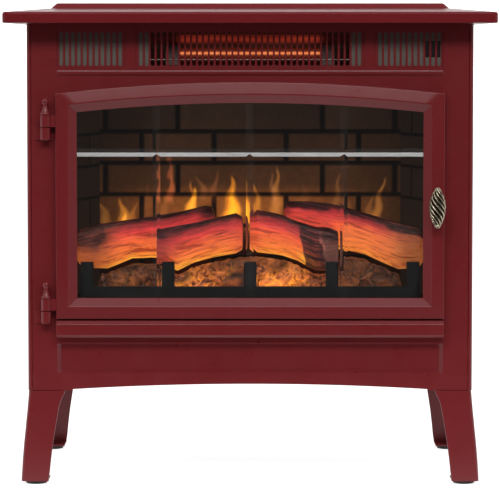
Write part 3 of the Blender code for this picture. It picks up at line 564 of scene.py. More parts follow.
PANEL_HX = 0.2727
DOOR_HX, DOOR_Z0, DOOR_Z1, DOOR_BOW = 0.2418, 0.2090, 0.5047, 0.248
apron = [(-PANEL_HX, 0.1182), (-0.2225, 0.1182), (-0.2225, 0.1194)]
for i in range(1, 32):
    x = 0.2225 * (i / 16 - 1)
    apron.append((x, 0.1261 - 0.1353 * x * x))
apron += [(0.2225, 0.1194), (0.2225, 0.1182), (PANEL_HX, 0.1182)]
mouth = [(-0.222, 0.2285), (0.222, 0.2285)]
for i in range(17):
    x = 0.222 * (1 - i / 8)
    mouth.append((x, 0.487 - DOOR_BOW * x * x))
POCKETS = [(-0.241, -0.154), (-0.1426, 0.1426), (0.154, 0.241)]
Y0 = -0.126
panel = sheet(
    "front_sheet", apron + [(PANEL_HX, 0.577), (-PANEL_HX, 0.577)],
    [rounded((a + b) / 2, 0.54515, (b - a) / 2, 0.02335 + 0.0004 * a, 0.0026, 5) for a, b in POCKETS]
    + [mouth, rounded(0, 0.1585, 0.2380, 0.0155, 0.001, 1), circle(0.232, 0.349, 0.0045, 20)],
    "Y", Y0, Y0 + SHEET)
join(
    panel,
    box("hem_l", -PANEL_HX + 0.0002, -PANEL_HX + SHEET, Y0 + 0.0004, -0.112, 0.1290, 0.570, tool=True),
    box("hem_r", PANEL_HX - SHEET, PANEL_HX - 0.0002, Y0 + 0.0004, -0.112, 0.1290, 0.570, tool=True),
    loft("tray", [
        [(x, -0.1256, z) for x, z in rounded(0, 0.1585, 0.2435, 0.0207, 0.003, 4)],
        [(x, -0.1203, z) for x, z in rounded(0, 0.1597, 0.2385, 0.0170, 0.003, 4)]], tool=True))
cut(panel, loft("tray_cut", [
    [(x, -0.1290, z) for x, z in rounded(0, 0.15838, 0.2447, 0.02176, 0.003, 4)],
    [(x, -0.1217, z) for x, z in rounded(0, 0.1597, 0.2370, 0.0157, 0.002, 4)]], tool=True))
bevel(panel, 0.0005, 2, 25)
dress(settle(panel), "cabinet", "red_paint", ["front_panel"])

# the bead: a half-round pressed line with returned ends
prof = [(0.0, -0.0034)] + [(-0.0016 * cos(radians(a)) ** 0.8 if abs(a) < 90 else 0.0, 0.0034 * sin(radians(a))) for a in range(-75, 76, 15)] + [(0.0, 0.0034)]
rings = []
for x, k in [(-0.2415, 0.15), (-0.2411, 0.6), (-0.2403, 0.9), (-0.2390, 1.0), (0.2390, 1.0), (0.2403, 0.9), (0.2411, 0.6), (0.2415, 0.15)]:
    rings.append([(x, Y0 + 0.0001 + y * k, 0.5160 + z * (0.5 + 0.5 * k)) for y, z in prof])
dress(settle(loft("bead", rings), 40), "cabinet", "red_paint")


def slot(x, z0, z1, w, n=8):
    r, pts = w / 2, []
    for i in range(n + 1):
        a = pi * i / n
        pts.append((x + r * cos(a), z1 - r + r * sin(a)))
    for i in range(n + 1):
        a = pi + pi * i / n
        pts.append((x + r * cos(a), z0 + r + r * sin(a)))
    return pts


slots = [slot((i - 18.5) * 0.00735, 0.5243, 0.5662, 0.0049) for i in range(38)]
for side in (-1, 1):
    slots += [slot(side * (0.1617 + i * 0.00735), 0.5243, 0.5662, 0.0049) for i in range(11)]
grille = sheet("grille_plate", [(-0.2435, 0.5203), (0.2435, 0.5203), (0.2435, 0.5700), (-0.2435, 0.5700)], slots, "Y", -0.1246, -0.1232)
bevel(grille, 0.0005, 2, 40)
dress(settle(grille, 40), "cabinet", "red_paint", ["louvre_grille"])
back = sheet("grille_backing", [(-0.2435, 0.5203), (0.2435, 0.5203), (0.2435, 0.5700), (-0.2435, 0.5700)],
             [rounded(0, 0.545, 0.126, 0.0225, 0.002, 4), rounded(0.2266, 0.5449, 0.0102, 0.0099, 0.001, 3)], "Y", -0.1228, -0.1218)
dress(settle(back), "cabinet", "grey_paint", ["louvre_backing"])
eye = loft("receiver_lens", [[(x, y, z) for x, z in rounded(0.2266, 0.5449, 0.0098 - d, 0.0095 - d, 0.0012, 4)]
                             for y, d in ((-0.1196, 0.0), (-0.1222, 0.0), (-0.12255, 0.0003), (-0.1226, 0.0008))])
dress(settle(eye), "cabinet", "dark_lens", ["receiver_window"])

# hearth ledge with softened folds
ledge = prism("ledge_bar", [(-0.1264, 0.1860), (-0.1405, 0.1860), (-0.1440, 0.1895), (-0.1440, 0.2030), (-0.1400, 0.2072), (-0.1264, 0.2072),
                            (-0.1264, 0.2060), (-0.1393, 0.2060), (-0.1428, 0.2025), (-0.1428, 0.1900), (-0.1399, 0.1872), (-0.1264, 0.1872)], "X", -0.2415, 0.2415)
bevel(ledge, 0.0007, 3, 20)
dress(settle(ledge), "cabinet", "red_paint", ["hearth_ledge"])


def side_outline(s, n=8):
    def arc(cx, cy, r, a0, a1, m=n):
        return [(cx + r * cos(radians(a0 + (a1 - a0) * i / m)), cy + r * sin(radians(a0 + (a1 - a0) * i / m))) for i in range(m + 1)]
    outer = arc(0.2735, -0.121, 0.005, -90, 0) + arc(0.2755, 0.153, 0.003, 0, 90, 5)
    inner = arc(0.2755, 0.153, 0.003 - SHEET, 90, 0, 5) + arc(0.2735, -0.121, 0.005 - SHEET, 0, -90)
    pts = [(0.2732, -0.126)] + outer + [(0.262, 0.156), (0.262, 0.156 - SHEET)] + inner + [(0.2732, -0.126 + SHEET)]
    return [(s * x, y) for x, y in pts]


for s, tag in ((-1, "left"), (1, "right")):
    dress(settle(bevel(prism("side_" + tag, side_outline(s), "Z", 0.118, 0.577), 0.0003, 2, 40)), "cabinet", "red_paint", ["side_panel_" + tag])

vents = []
for column in (-0.085, 0.0, 0.085):
    for row in range(9):
        vents.append(rounded(column, 0.330 + row * 0.013, 0.034, 0.0025, 0.0024, 5))
rear = sheet("rear_sheet", [(-0.2750, 0.1292), (0.2750, 0.1292), (0.2750, 0.5768), (-0.2750, 0.5768)],
             vents + [rounded(-0.185, 0.520, 0.047, 0.017, 0.001, 2), circle(-0.225, 0.165, 0.0075, 28)], "Y", 0.1533, 0.1545)
dress(settle(bevel(rear, 0.0003, 2, 40)), "cabinet", "black_paint", ["rear_panel"])
pan = box("pan", -0.2768, 0.2768, -0.1105, 0.1529, 0.1272, 0.1284)
join(pan, box("pan_lip", -0.2700, 0.2700, -0.1105, -0.1093, 0.1280, 0.1400, tool=True))
dress(settle(bevel(pan, 0.0003, 2, 40)), "cabinet", "black_paint", ["base_pan"])

# flared legs: an L of sheet with rolled edges
LEG = [(0.1177, 0.2778, 0.2311), (0.1090, 0.2784, 0.2355), (0.1000, 0.2792, 0.2390), (0.0820, 0.2809, 0.2423),
       (0.0500, 0.2839, 0.2472), (0.0155, 0.2863, 0.2510), (0.0045, 0.2868, 0.2526)]


def curve_at(z, k):
    """Smooth curve through the leg's stations (Catmull-Rom)."""
    pts = LEG
    for i in range(len(pts) - 1):
        if pts[i][0] >= z >= pts[i + 1][0]:
            p0, p1, p2, p3 = pts[max(i - 1, 0)], pts[i], pts[i + 1], pts[min(i + 2, len(pts) - 1)]
            t = (p1[0] - z) / (p1[0] - p2[0])
            a, b, c, d = p0[k], p1[k], p2[k], p3[k]
            return 0.5 * (2 * b + (c - a) * t + (2 * a - 5 * b + 4 * c - d) * t * t + (3 * b - 3 * c + d - a) * t ** 3)
    return pts[-1][k]


def leg(name, sx, sy):
    front = 0.1268 if sy < 0 else 0.1568
    t, r, rings = 0.0020, 0.0055, []
    for j in range(25):
        z = 0.1177 - (0.1177 - 0.0045) * j / 24
        xo, xi = curve_at(z, 1), curve_at(z, 2)
        yo = front + xo - 0.2778
        yi = yo - (xo - xi)
        ring = [(xi, yo - 0.0014), (xi + 0.0004, yo - 0.0004), (xi + 0.0014, yo)]
        for i in range(9):
            a = radians(90 - 90 * i / 8)
            ring.append((xo - r + r * cos(a), yo - r + r * sin(a)))
        ring += [(xo, yi + 0.0014), (xo - 0.0004, yi + 0.0004), (xo - 0.0014, yi), (xo - t, yi)]
        for i in range(5):
            a = radians(90 * i / 4)
            ring.append((xo - r + (r - t) * cos(a), yo - r + (r - t) * sin(a)))
        ring += [(xi, yo - t)]
        rings.append([(sx * x, sy * y, z) for x, y in ring])
    obj = loft(name, rings)

    def block(tag, x0, x1, y0, y1, z0, z1):
        return box(name + tag, *sorted((sx * x0, sx * x1)), *sorted((sy * y0, sy * y1)), z0, z1, tool=True)

    top = front - 0.0025 if sy < 0 else front - 0.0042
    join(obj,
         block("_tab_side", 0.2751, 0.2769, top - 0.040, top - 0.0040, 0.1120, 0.1268),
         block("_tab_face", 0.2360, 0.2735, top - 0.0018, top, 0.1120, 0.1268),
         block("_top_plate", 0.2360, 0.2755, top - 0.0401, top - 0.0005, 0.1253, 0.1267),
         block("_sole", 0.2528, 0.2855, front - 0.0240, front + 0.0080, 0.0046, 0.0066))
    return settle(obj, 35)


for fb, sy in (("front", -1), ("rear", 1)):
    for lr, sx in (("left", -1), ("right", 1)):
        dress(leg("foreleg_%s_%s" % (fb, lr), sx, sy), "cabinet", "red_paint", ["leg_%s_%s" % (fb, lr)])
        front = 0.1268 if sy < 0 else 0.1568
        cx, cy = sx * 0.2690, sy * (front - 0.0090)
        pad = loft("glide_%s_%s" % (fb, lr), [[(x, y, z) for x, y in circle(cx, cy, r, 40)] for r, z in
                                              ((0.0118, 0.0), (0.0130, 0.0003), (0.0135, 0.0012), (0.0135, 0.0036), (0.0130, 0.0043))])
        dress(settle(pad, 50), "cabinet", "foot_rubber", ["foot_pad_%s_%s" % (fb, lr)])


# =====================================================================
# door
# =====================================================================
def arch(inset, steps=40, z0=DOOR_Z0, z1=DOOR_Z1, corner=0.0):
    hx = DOOR_HX - inset
    pts = [(-hx, z0 + inset), (hx, z0 + inset)]
    for i in range(steps + 1):
        x = hx * (1 - 2 * i / steps)
        pts.append((x, z1 - inset - DOOR_BOW * x * x))
    return pts


PROFILE = [(0.0000, -0.1275), (0.0000, -0.1380), (0.0002, -0.1386), (0.0006, -0.1390), (0.0012, -0.1393), (0.0140, -0.14185), (0.0146, -0.1420), (0.0152, -0.1420),
           (0.0158, -0.1418), (0.0163, -0.1415), (0.0254, -0.1357), (0.0260, -0.1353), (0.0263, -0.1349), (0.0263, -0.1340), (0.0252, -0.1340), (0.0157, -0.1405),
           (0.0148, -0.1406), (0.0016, -0.1379), (0.0012, -0.1287), (0.0125, -0.1287), (0.0125, -0.1275)]
KX, KY = -0.2543, -0.1355
frame_obj = loft("door_shell", [[(x, y, z) for x, z in arch(d)] for d, y in PROFILE], hoop=True)
for tag, z0, z1 in (("upper", 0.4483, 0.4632), ("lower", 0.2193, 0.2342)):
    kn = loft("knuckle_" + tag, [[(x, y, z) for x, y in circle(KX, KY, r, 48)] for r, z in
                                 ((0.0059, z0), (0.0065, z0 + 0.0006), (0.0065, z1 - 0.0006), (0.0059, z1))], tool=True)
    lf = box("leaf_" + tag, KX, -0.2405, -0.1378, -0.1345, z0 + 0.0002, z1 - 0.0002, tool=True)
    join(frame_obj, kn, lf)
for tag, z0, z1 in (("upper", 0.4483, 0.4632), ("lower", 0.2193, 0.2342)):
    cut(frame_obj, prism("bore_" + tag, circle(KX, KY, 0.0030, 32), "Z", z0 - 0.002, z1 + 0.002, tool=True))
cut(frame_obj, prism("spindle_bore", circle(0.2319, 0.349, 0.0026, 24), "Y", -0.150, -0.120, tool=True))
dress(settle(frame_obj, 28), "door", "red_paint", ["door_frame"])

pane = prism("pane", arch(0.0153, 48), "Y", -0.1335, -0.1301)
GROOVE_W, GROOVE_D = 0.0050, 0.0015


def groove(name, axis, at, lo, hi):
    w, d = GROOVE_W * 1.2, GROOVE_D if axis == "X" else 0.0010
    yf = -0.1335
    tri = [(-w, yf - 0.0003), (w, yf - 0.0003), (0.0, yf + d)]
    if axis == "Z":
        return loft(name, [[(at + u, y, z) for u, y in tri] for z in (lo, hi)], tool=True)
    return loft(name, [[(x, y, at + u) for u, y in tri] for x in (lo, hi)], tool=True)


for i, x in enumerate((-0.1165, -0.0005, 0.1168)):
    cut(pane, groove("groove_v%d" % i, "Z", x, 0.20, 0.52))
cut(pane, groove("groove_h", "X", 0.4167, -0.25, 0.25))
dress(settle(pane, 5), "door", "clear_glass", ["door_glass"])
pane.data.materials.append(M["groove_painted_reflection"])
pane.data.materials.append(M["groove_side"])
# painted reflection: upward-facing groove facets take the whitish frost, downward and side facets the near-clear one
for face in pane.data.polygons:
    if face.normal.y < -0.5 and face.normal.z > 0.08:
        face.material_index = 1
    elif face.normal.y < -0.5 and (face.normal.z < -0.08 or abs(face.normal.x) > 0.05):
        face.material_index = 2
ret = loft("retainer", [[(x, y, z) for x, z in arch(d)] for d, y in
                        ((0.0147, -0.1296), (0.0250, -0.1296), (0.0250, -0.1282), (0.0147, -0.1282))], hoop=True)
dress(settle(ret), "door", "black_paint", ["glass_retainer"])
dress(settle(bevel(box("strike", 0.2290, 0.2350, -0.1272, -0.1266, 0.339, 0.359), 0.0002, 2)), "door", "zinc_plate", ["strike_plate"])

# hinges: socket, web, leaf, and a pin with a turned finial
for tag, bz in (("upper", 0.4483), ("lower", 0.2193)):
    z0, z1 = bz - 0.0158, bz - 0.0007
    sock = loft("socket_" + tag, [[(x, y, z) for x, y in circle(KX, KY, r, 48)] for r, z in
                                  ((0.0059, z0), (0.0065, z0 + 0.0006), (0.0065, z1 - 0.0006), (0.0059, z1))])
    join(sock,
         box("web_" + tag, -0.2593, -0.2493, -0.1320, -0.1263, z0 + 0.0002, z1 - 0.0002, tool=True),
         loft("plate_" + tag, [[(x, y, z) for x, z in rounded(-0.25675, bz - 0.00825, 0.01225 - d, 0.00825 - d, 0.0015, 4)] for y, d in
                               ((-0.1263, 0.0), (-0.1276, 0.0), (-0.1279, 0.0003))], tool=True))
    cut(sock, prism("socket_bore_" + tag, circle(KX, KY, 0.0030, 32), "Z", bz - 0.0125, bz + 0.002, tool=True))
    dress(settle(sock), "cabinet", "red_paint", ["hinge_socket_" + tag])
    z = bz + 0.0153
    turned = [(0.0021, bz - 0.0120), (0.0021, z), (0.0056, z), (0.0061, z + 0.0003), (0.0063, z + 0.0010), (0.0062, z + 0.0020), (0.0056, z + 0.0030),
              (0.0047, z + 0.0044), (0.0040, z + 0.0064), (0.0034, z + 0.0086), (0.0029, z + 0.0108), (0.0027, z + 0.0122), (0.0029, z + 0.0134),
              (0.0036, z + 0.0144), (0.0040, z + 0.0155), (0.0042, z + 0.0168), (0.0041, z + 0.0180), (0.0036, z + 0.0192), (0.0027, z + 0.0201), (0.0012, z + 0.0206)]
    dress(settle(loft("finial_" + tag, [[(x, y, h) for x, y in circle(KX, KY, r, 40)] for r, h in turned]), 40), "cabinet", "red_paint", ["hinge_pin_" + tag])

# spiral cage handle of real wires
GX, GY, GZ = 0.2319, -0.1535, 0.349
verts, faces = [], []
STRANDS = 9
for w in range(STRANDS):
    path = []
    for k in range(37):
        f = k / 36
        r = 0.0026 + 0.0068 * sin(pi * f) ** 0.8
        a = 2 * pi * w / STRANDS - 4.5 * (f - 0.5)
        path.append((GX + r * cos(a), GY + r * sin(a), GZ - 0.0228 + 0.0456 * f))
    v, fc = tube(path, lambda f: 0.00105 - 0.0004 * abs(2 * f - 1), 10)
    faces += [tuple(i + len(verts) for i in face) for face in fc]
    verts += v
dress(settle(solid("cage", verts, faces), 50), "door", "antique_silver")
# a core fills the cage, following the handle's solid body; its near-black colour is painted shade between the strands
core = [(0.0012 + 0.0066 * sin(pi * k / 24) ** 0.8, GZ - 0.0226 + 0.0452 * k / 24) for k in range(25)]
dress(settle(loft("cage_core", [[(x, y, z) for x, y in circle(GX, GY, r, 32)] for r, z in core]), 50), "door", "antique_silver", mat="core_painted_shade")
for s, tag in ((-1, "bottom"), (1, "top")):
    knob = [(0.0026, 0.0206), (0.0040, 0.0209), (0.0046, 0.0215), (0.0048, 0.0222), (0.0045, 0.0229), (0.0038, 0.0234), (0.0033, 0.0238), (0.0034, 0.0243), (0.0030, 0.0250), (0.0018, 0.0254), (0.0006, 0.0255)]
    dress(settle(loft("cage_end_" + tag, [[(x, y, GZ + s * h) for x, y in circle(GX, GY, r, 32)] for r, h in knob]), 50), "door", "antique_silver")
post = [(0.0021, -0.1290), (0.0021, -0.1424), (0.0060, -0.1424), (0.0063, -0.1427), (0.0062, -0.1434), (0.0050, -0.1438), (0.0036, -0.1443), (0.0030, -0.1452), (0.0029, -0.1480)]
dress(settle(loft("handle_post", [[(x, y, z) for x, z in circle(GX, GZ, r, 32)] for r, y in post]), 40), "door", "antique_silver", ["door_handle"])


# =====================================================================
# firebox
# =====================================================================
def screen(px, py, y):
    """Where the point seen at a place in the 500-wide frame sits at depth y."""
    s = 2308 / (3.01 + y)
    return (px - 250.1) / s, 0.5438 - (py - 50) / s


BACK_Y = 0.0100
ROW0, ROW_H, BRICK, MORTAR = 0.3562, 0.0410, 0.0941, 0.0066
# (x, foot z, tip z, half width, colour, lean, softness): tongues of flame thrown on the bricks
FLAMES = [
    (-0.0765, 0.322, 0.3660, 0.0105, lin(255, 165, 36), 0.005, 1.25), (-0.0740, 0.330, 0.3740, 0.0050, lin(215, 120, 40), -0.003, 0.8),
    (-0.0235, 0.322, 0.3815, 0.0130, lin(236, 140, 24), 0.000, 1.0), (-0.0225, 0.322, 0.3640, 0.0105, lin(240, 170, 24), 0.000, 0.85),
    (-0.1040, 0.352, 0.3820, 0.0055, lin(196, 96, 52), 0.004, 0.8), (-0.1030, 0.380, 0.3990, 0.0038, lin(170, 84, 48), -0.003, 0.6), (-0.1070, 0.401, 0.4150, 0.0038, lin(140, 70, 44), 0.003, 0.5),
    (-0.0600, 0.354, 0.3800, 0.0060, lin(140, 82, 46), -0.010, 0.7), (-0.0480, 0.354, 0.3880, 0.0050, lin(130, 74, 42), 0.008, 0.6),
    (0.0016, 0.345, 0.3920, 0.0032, lin(170, 104, 44), 0.000, 0.7), (0.0103, 0.325, 0.3700, 0.0065, lin(205, 128, 40), -0.004, 0.8),
    (0.0335, 0.325, 0.3940, 0.0080, lin(165, 104, 44), 0.003, 0.8), (0.0300, 0.352, 0.3860, 0.0040, lin(150, 92, 56), -0.003, 0.5),
    (-0.1640, 0.318, 0.3520, 0.0085, lin(196, 118, 36), -0.006, 0.9), (-0.1530, 0.318, 0.3480, 0.0050, lin(170, 100, 36), 0.006, 0.6), (-0.1640, 0.322, 0.3330, 0.0030, lin(250, 170, 50), 0.0, 0.6),
    (-0.1870, 0.315, 0.3560, 0.0070, lin(140, 88, 34), -0.018, 0.7), (-0.1120, 0.325, 0.3560, 0.0080, lin(130, 78, 36), 0.0, 0.7),
    (0.1650, 0.325, 0.3800, 0.0060, lin(160, 98, 40), 0.012, 0.8), (0.1550, 0.320, 0.3560, 0.0080, lin(140, 86, 36), 0.004, 0.7), (0.1120, 0.330, 0.3900, 0.0055, lin(124, 76, 38), 0.006, 0.7),
    (0.1250, 0.325, 0.3620, 0.0080, lin(110, 68, 34), 0.0, 0.6), (-0.1350, 0.330, 0.3720, 0.0070, lin(92, 52, 30), 0.004, 0.5), (0.0700, 0.335, 0.3700, 0.0120, lin(92, 56, 32), 0.0, 0.5),
]


def brick_at(x, z):
    """(how far inside a brick, row, column): negative is mortar."""
    row = int((z - ROW0) // ROW_H)
    fz = (z - ROW0) - row * ROW_H
    shift = 0.0 if row % 2 == 0 else BRICK / 2
    # rows alternate: a joint on the middle line in even rows
    col = int((x + shift + 10 * BRICK) // BRICK)
    fx = (x + shift + 10 * BRICK) - col * BRICK
    ux = min(fx, BRICK - fx) - MORTAR / 2
    uz = min(fz, ROW_H - fz) - MORTAR * 0.42
    return min(ux, uz), row, col


NXB, NZB = ((251, 181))
verts, faces, glows, clays = [], [], [], []
X0B, X1B, Z0B, Z1B = -0.1975, 0.1975, 0.2250, 0.5100
for j in range(NZB):
    z = Z0B + (Z1B - Z0B) * j / (NZB - 1)
    for i in range(NXB):
        x = X0B + (X1B - X0B) * i / (NXB - 1)
        inside, row, col = brick_at(x, z)
        k = smooth(-0.0008, 0.0012, inside)
        lump = noise.noise(Vector((x * 60, z * 60, 3.1))) * 0.0005 + noise.noise(Vector((x * 190, z * 190, 7.7))) * 0.00025
        verts.append((x, BACK_Y - 0.0016 * k - lump * k, z))
        tone = 0.82 + 0.36 * (0.5 + 0.5 * sin(row * 12.9898 + col * 78.233))
        # painted light: the bricks are lighter towards the middle and the foot, where the fire's light falls, and
        # darker towards the sides, in painted shade
        foot_firelight = smooth(0.47, 0.34, z)
        low = smooth(0.372, 0.345, z) * smooth(0.215, 0.06, abs(x + 0.02)) * smooth(0.300, 0.322, z)
        side = 1.0 - 0.45 * smooth(0.10, 0.21, abs(x))
        brick_c = mixc(mixc(lin(47, 31, 22), lin(76, 46, 24), foot_firelight), lin(140, 80, 34), low)
        c = tuple(v * tone * (0.55 + 0.45 * side) for v in brick_c)
        mort = lin(15, 11, 10)
        clays.append(mixc(mort, c, k))
        # painted light: each brick also glows in its own colour, standing in for the firelight on it, dimmed towards
        # the sides and fading out low down behind the logs; the flame tongues are added on top
        g = [v * 0.62 * side * (0.06 + 0.94 * k) * tone * smooth(0.285, 0.322, z) for v in brick_c]
        for fx, f0, f1, hw, colr, lean, soft in FLAMES:
            t = (z - f0) / (f1 - f0)
            if -0.35 < t < 1.05:
                tt = min(max(t, 0.0), 1.0)
                wob = 0.0016 * sin(z * 210 + fx * 300) + lean * tt * tt
                w = hw * (1 - tt) ** 0.75 * (0.75 + 0.5 * sin(pi * min(1, tt + 0.25))) + 0.0007
                d = abs(x - fx - wob) / w
                a = soft * max(0.0, 1 - d * d) ** 1.2 * (1 - 0.35 * tt) * smooth(1.04, 0.86, t) * smooth(-0.35, 0.0, t)
                a *= (0.30 + 0.70 * k)
                for q in range(3):
                    g[q] = g[q] + colr[q] * a
        glows.append(tuple(min(v, 1.25) for v in g))
for j in range(NZB - 1):
    for i in range(NXB - 1):
        a = j * NXB + i
        faces.append((a, a + 1, a + NXB + 1, a + NXB))
# close it into a thin panel
base = len(verts)
ring = [i for i in range(NXB)] + [j * NXB + NXB - 1 for j in range(1, NZB)] + [(NZB - 1) * NXB + i for i in range(NXB - 2, -1, -1)] + [j * NXB for j in range(NZB - 2, 0, -1)]
for v in ring:
    verts.append((verts[v][0], 0.0112, verts[v][2]))
    glows.append((0, 0, 0))
    clays.append(lin(20, 15, 12))
for k in range(len(ring)):
    n = (k + 1) % len(ring)
    faces.append((ring[k], base + k, base + n, ring[n]))
faces.append(tuple(range(base, base + len(ring))))
wall = solid("brick_wall", verts, faces)
wall.data.polygons.foreach_set("use_smooth", [True] * len(wall.data.polygons))
wall.data.set_sharp_from_angle(angle=radians(60))
paint_verts(wall, "glow", glows)
paint_verts(wall, "clay", clays)
dress(wall, "cabinet", "brick_print", ["firebox_back"])

# side walls keep the solids' places, in thin folded sheet
# painted light: the side-wall bricks also emit their own colour at a third to half strength, standing in for the
# firelight that falls on them
side_mat = Mat("firebox_side_painted_glow", (0.008, 0.005, 0.004), 0.8)
side_mat.b.inputs["Specular IOR Level"].default_value = 0.12
vec = side_mat.mapped((1, 1, 1), (radians(90), 0, 0))
tex = side_mat.node("ShaderNodeTexBrick")
comb = side_mat.node("ShaderNodeCombineXYZ")
sep = side_mat.node("ShaderNodeSeparateXYZ")
side_mat.link(side_mat.co, sep.inputs[0])
side_mat.link(side_mat.math("ADD", side_mat.math("MULTIPLY", sep.outputs[1], 1.0), side_mat.math("MULTIPLY", sep.outputs[0], 0.35)), comb.inputs[0])
side_mat.link(side_mat.math("SUBTRACT", sep.outputs[2], 0.3534), comb.inputs[1])
side_mat.link(comb.outputs[0], tex.inputs["Vector"])
tex.inputs["Scale"].default_value = 1.0
tex.inputs["Brick Width"].default_value = 0.0941
tex.inputs["Row Height"].default_value = 0.0410
tex.inputs["Mortar Size"].default_value = 0.0022
tex.inputs["Mortar Smooth"].default_value = 0.3
tex.inputs["Color1"].default_value = (0.0240, 0.0135, 0.0090, 1)
tex.inputs["Color2"].default_value = (0.0180, 0.0105, 0.0072, 1)
tex.inputs["Mortar"].default_value = (0.0035, 0.0022, 0.0018, 1)
gr = side_mat.noise(130.0, 5, 0.6)
fac = side_mat.math("SUBTRACT", 1.0, tex.outputs["Fac"])
side_mat.wire(color=side_mat.mix(1.0, tex.outputs["Color"], side_mat.ramp(gr, [(0.3, (0.7, 0.7, 0.7)), (0.7, (1.3, 1.3, 1.3))]), "MULTIPLY"),
              normal=side_mat.bump(gr, 0.3, 0.001, side_mat.bump(fac, 0.6, 0.0016)), rough=side_mat.range(gr, 0.3, 0.7, 0.7, 0.9),
              emission=side_mat.mix(1.0, tex.outputs["Color"], side_mat.ramp(gr, [(0.3, (0.30, 0.28, 0.26)), (0.7, (0.55, 0.52, 0.50))]), "MULTIPLY"), strength=1.0)
M["firebox_side_painted_glow"] = side_mat.m
for s, tag in ((-1, "left"), (1, "right")):
    pl = prism("box_wall_" + tag, [(s * x, y) for x, y in ((0.1957, 0.0080), (0.2223, -0.0658), (0.2223, -0.1238), (0.2232, -0.1238), (0.2232, -0.0660), (0.1967, 0.0080))],
               "Z", 0.2326, 0.5058)
    dress(settle(bevel(pl, 0.0002, 1)), "cabinet", "black_paint", ["firebox_wall_" + tag], mat="firebox_side_painted_glow")

# logs: (x, middle y, half depth, underside z, top z)
LOGS = {
    "log_left": [(-0.2190, -0.0820, 0.0120, 0.2790, 0.3120), (-0.2150, -0.0810, 0.0165, 0.2730, 0.3165), (-0.1960, -0.0750, 0.0180, 0.2670, 0.3215),
                 (-0.1810, -0.0700, 0.0185, 0.2665, 0.3245), (-0.1500, -0.0590, 0.0190, 0.2790, 0.3285), (-0.1226, -0.0470, 0.0180, 0.2790, 0.3305),
                 (-0.0900, -0.0360, 0.0175, 0.2870, 0.3365), (-0.0583, -0.0260, 0.0160, 0.3020, 0.3435), (-0.0490, -0.0235, 0.0140, 0.3070, 0.3420), (-0.0465, -0.0230, 0.0090, 0.3160, 0.3360)],
    "log_centre_left": [(-0.1180, -0.0840, 0.0110, 0.2830, 0.3100), (-0.1150, -0.0840, 0.0150, 0.2750, 0.3165), (-0.0920, -0.0835, 0.0160, 0.2650, 0.3205),
                        (-0.0690, -0.0815, 0.0175, 0.2757, 0.3245), (-0.0445, -0.0790, 0.0190, 0.2820, 0.3308), (-0.0180, -0.0770, 0.0200, 0.2865, 0.3375), (-0.0103, -0.0765, 0.0160, 0.2910, 0.3335)],
    "log_centre_right": [(0.0045, -0.0765, 0.0160, 0.2930, 0.3375), (0.0090, -0.0770, 0.0200, 0.2885, 0.3415), (0.0418, -0.0790, 0.0190, 0.2833, 0.3350),
                         (0.0602, -0.0810, 0.0175, 0.2770, 0.3278), (0.0817, -0.0830, 0.0165, 0.2660, 0.3210), (0.1000, -0.0840, 0.0155, 0.2650, 0.3195), (0.1105, -0.0840, 0.0120, 0.2700, 0.3150)],
    "log_right": [(0.0450, -0.0230, 0.0090, 0.3250, 0.3430), (0.0475, -0.0235, 0.0140, 0.3120, 0.3495), (0.0772, -0.0330, 0.0165, 0.2980, 0.3500), (0.1027, -0.0410, 0.0175, 0.2900, 0.3478),
                  (0.1226, -0.0470, 0.0180, 0.2885, 0.3430), (0.1469, -0.0570, 0.0185, 0.2840, 0.3355), (0.1717, -0.0660, 0.0190, 0.2730, 0.3284), (0.1881, -0.0730, 0.0185, 0.2665, 0.3244),
                  (0.2070, -0.0790, 0.0175, 0.2665, 0.3195), (0.2150, -0.0810, 0.0165, 0.2700, 0.3165), (0.2190, -0.0820, 0.0120, 0.2760, 0.3120)],
}


def bump1(x, mid, half):
    return max(0.0, 1.0 - ((x - mid) / half) ** 2)


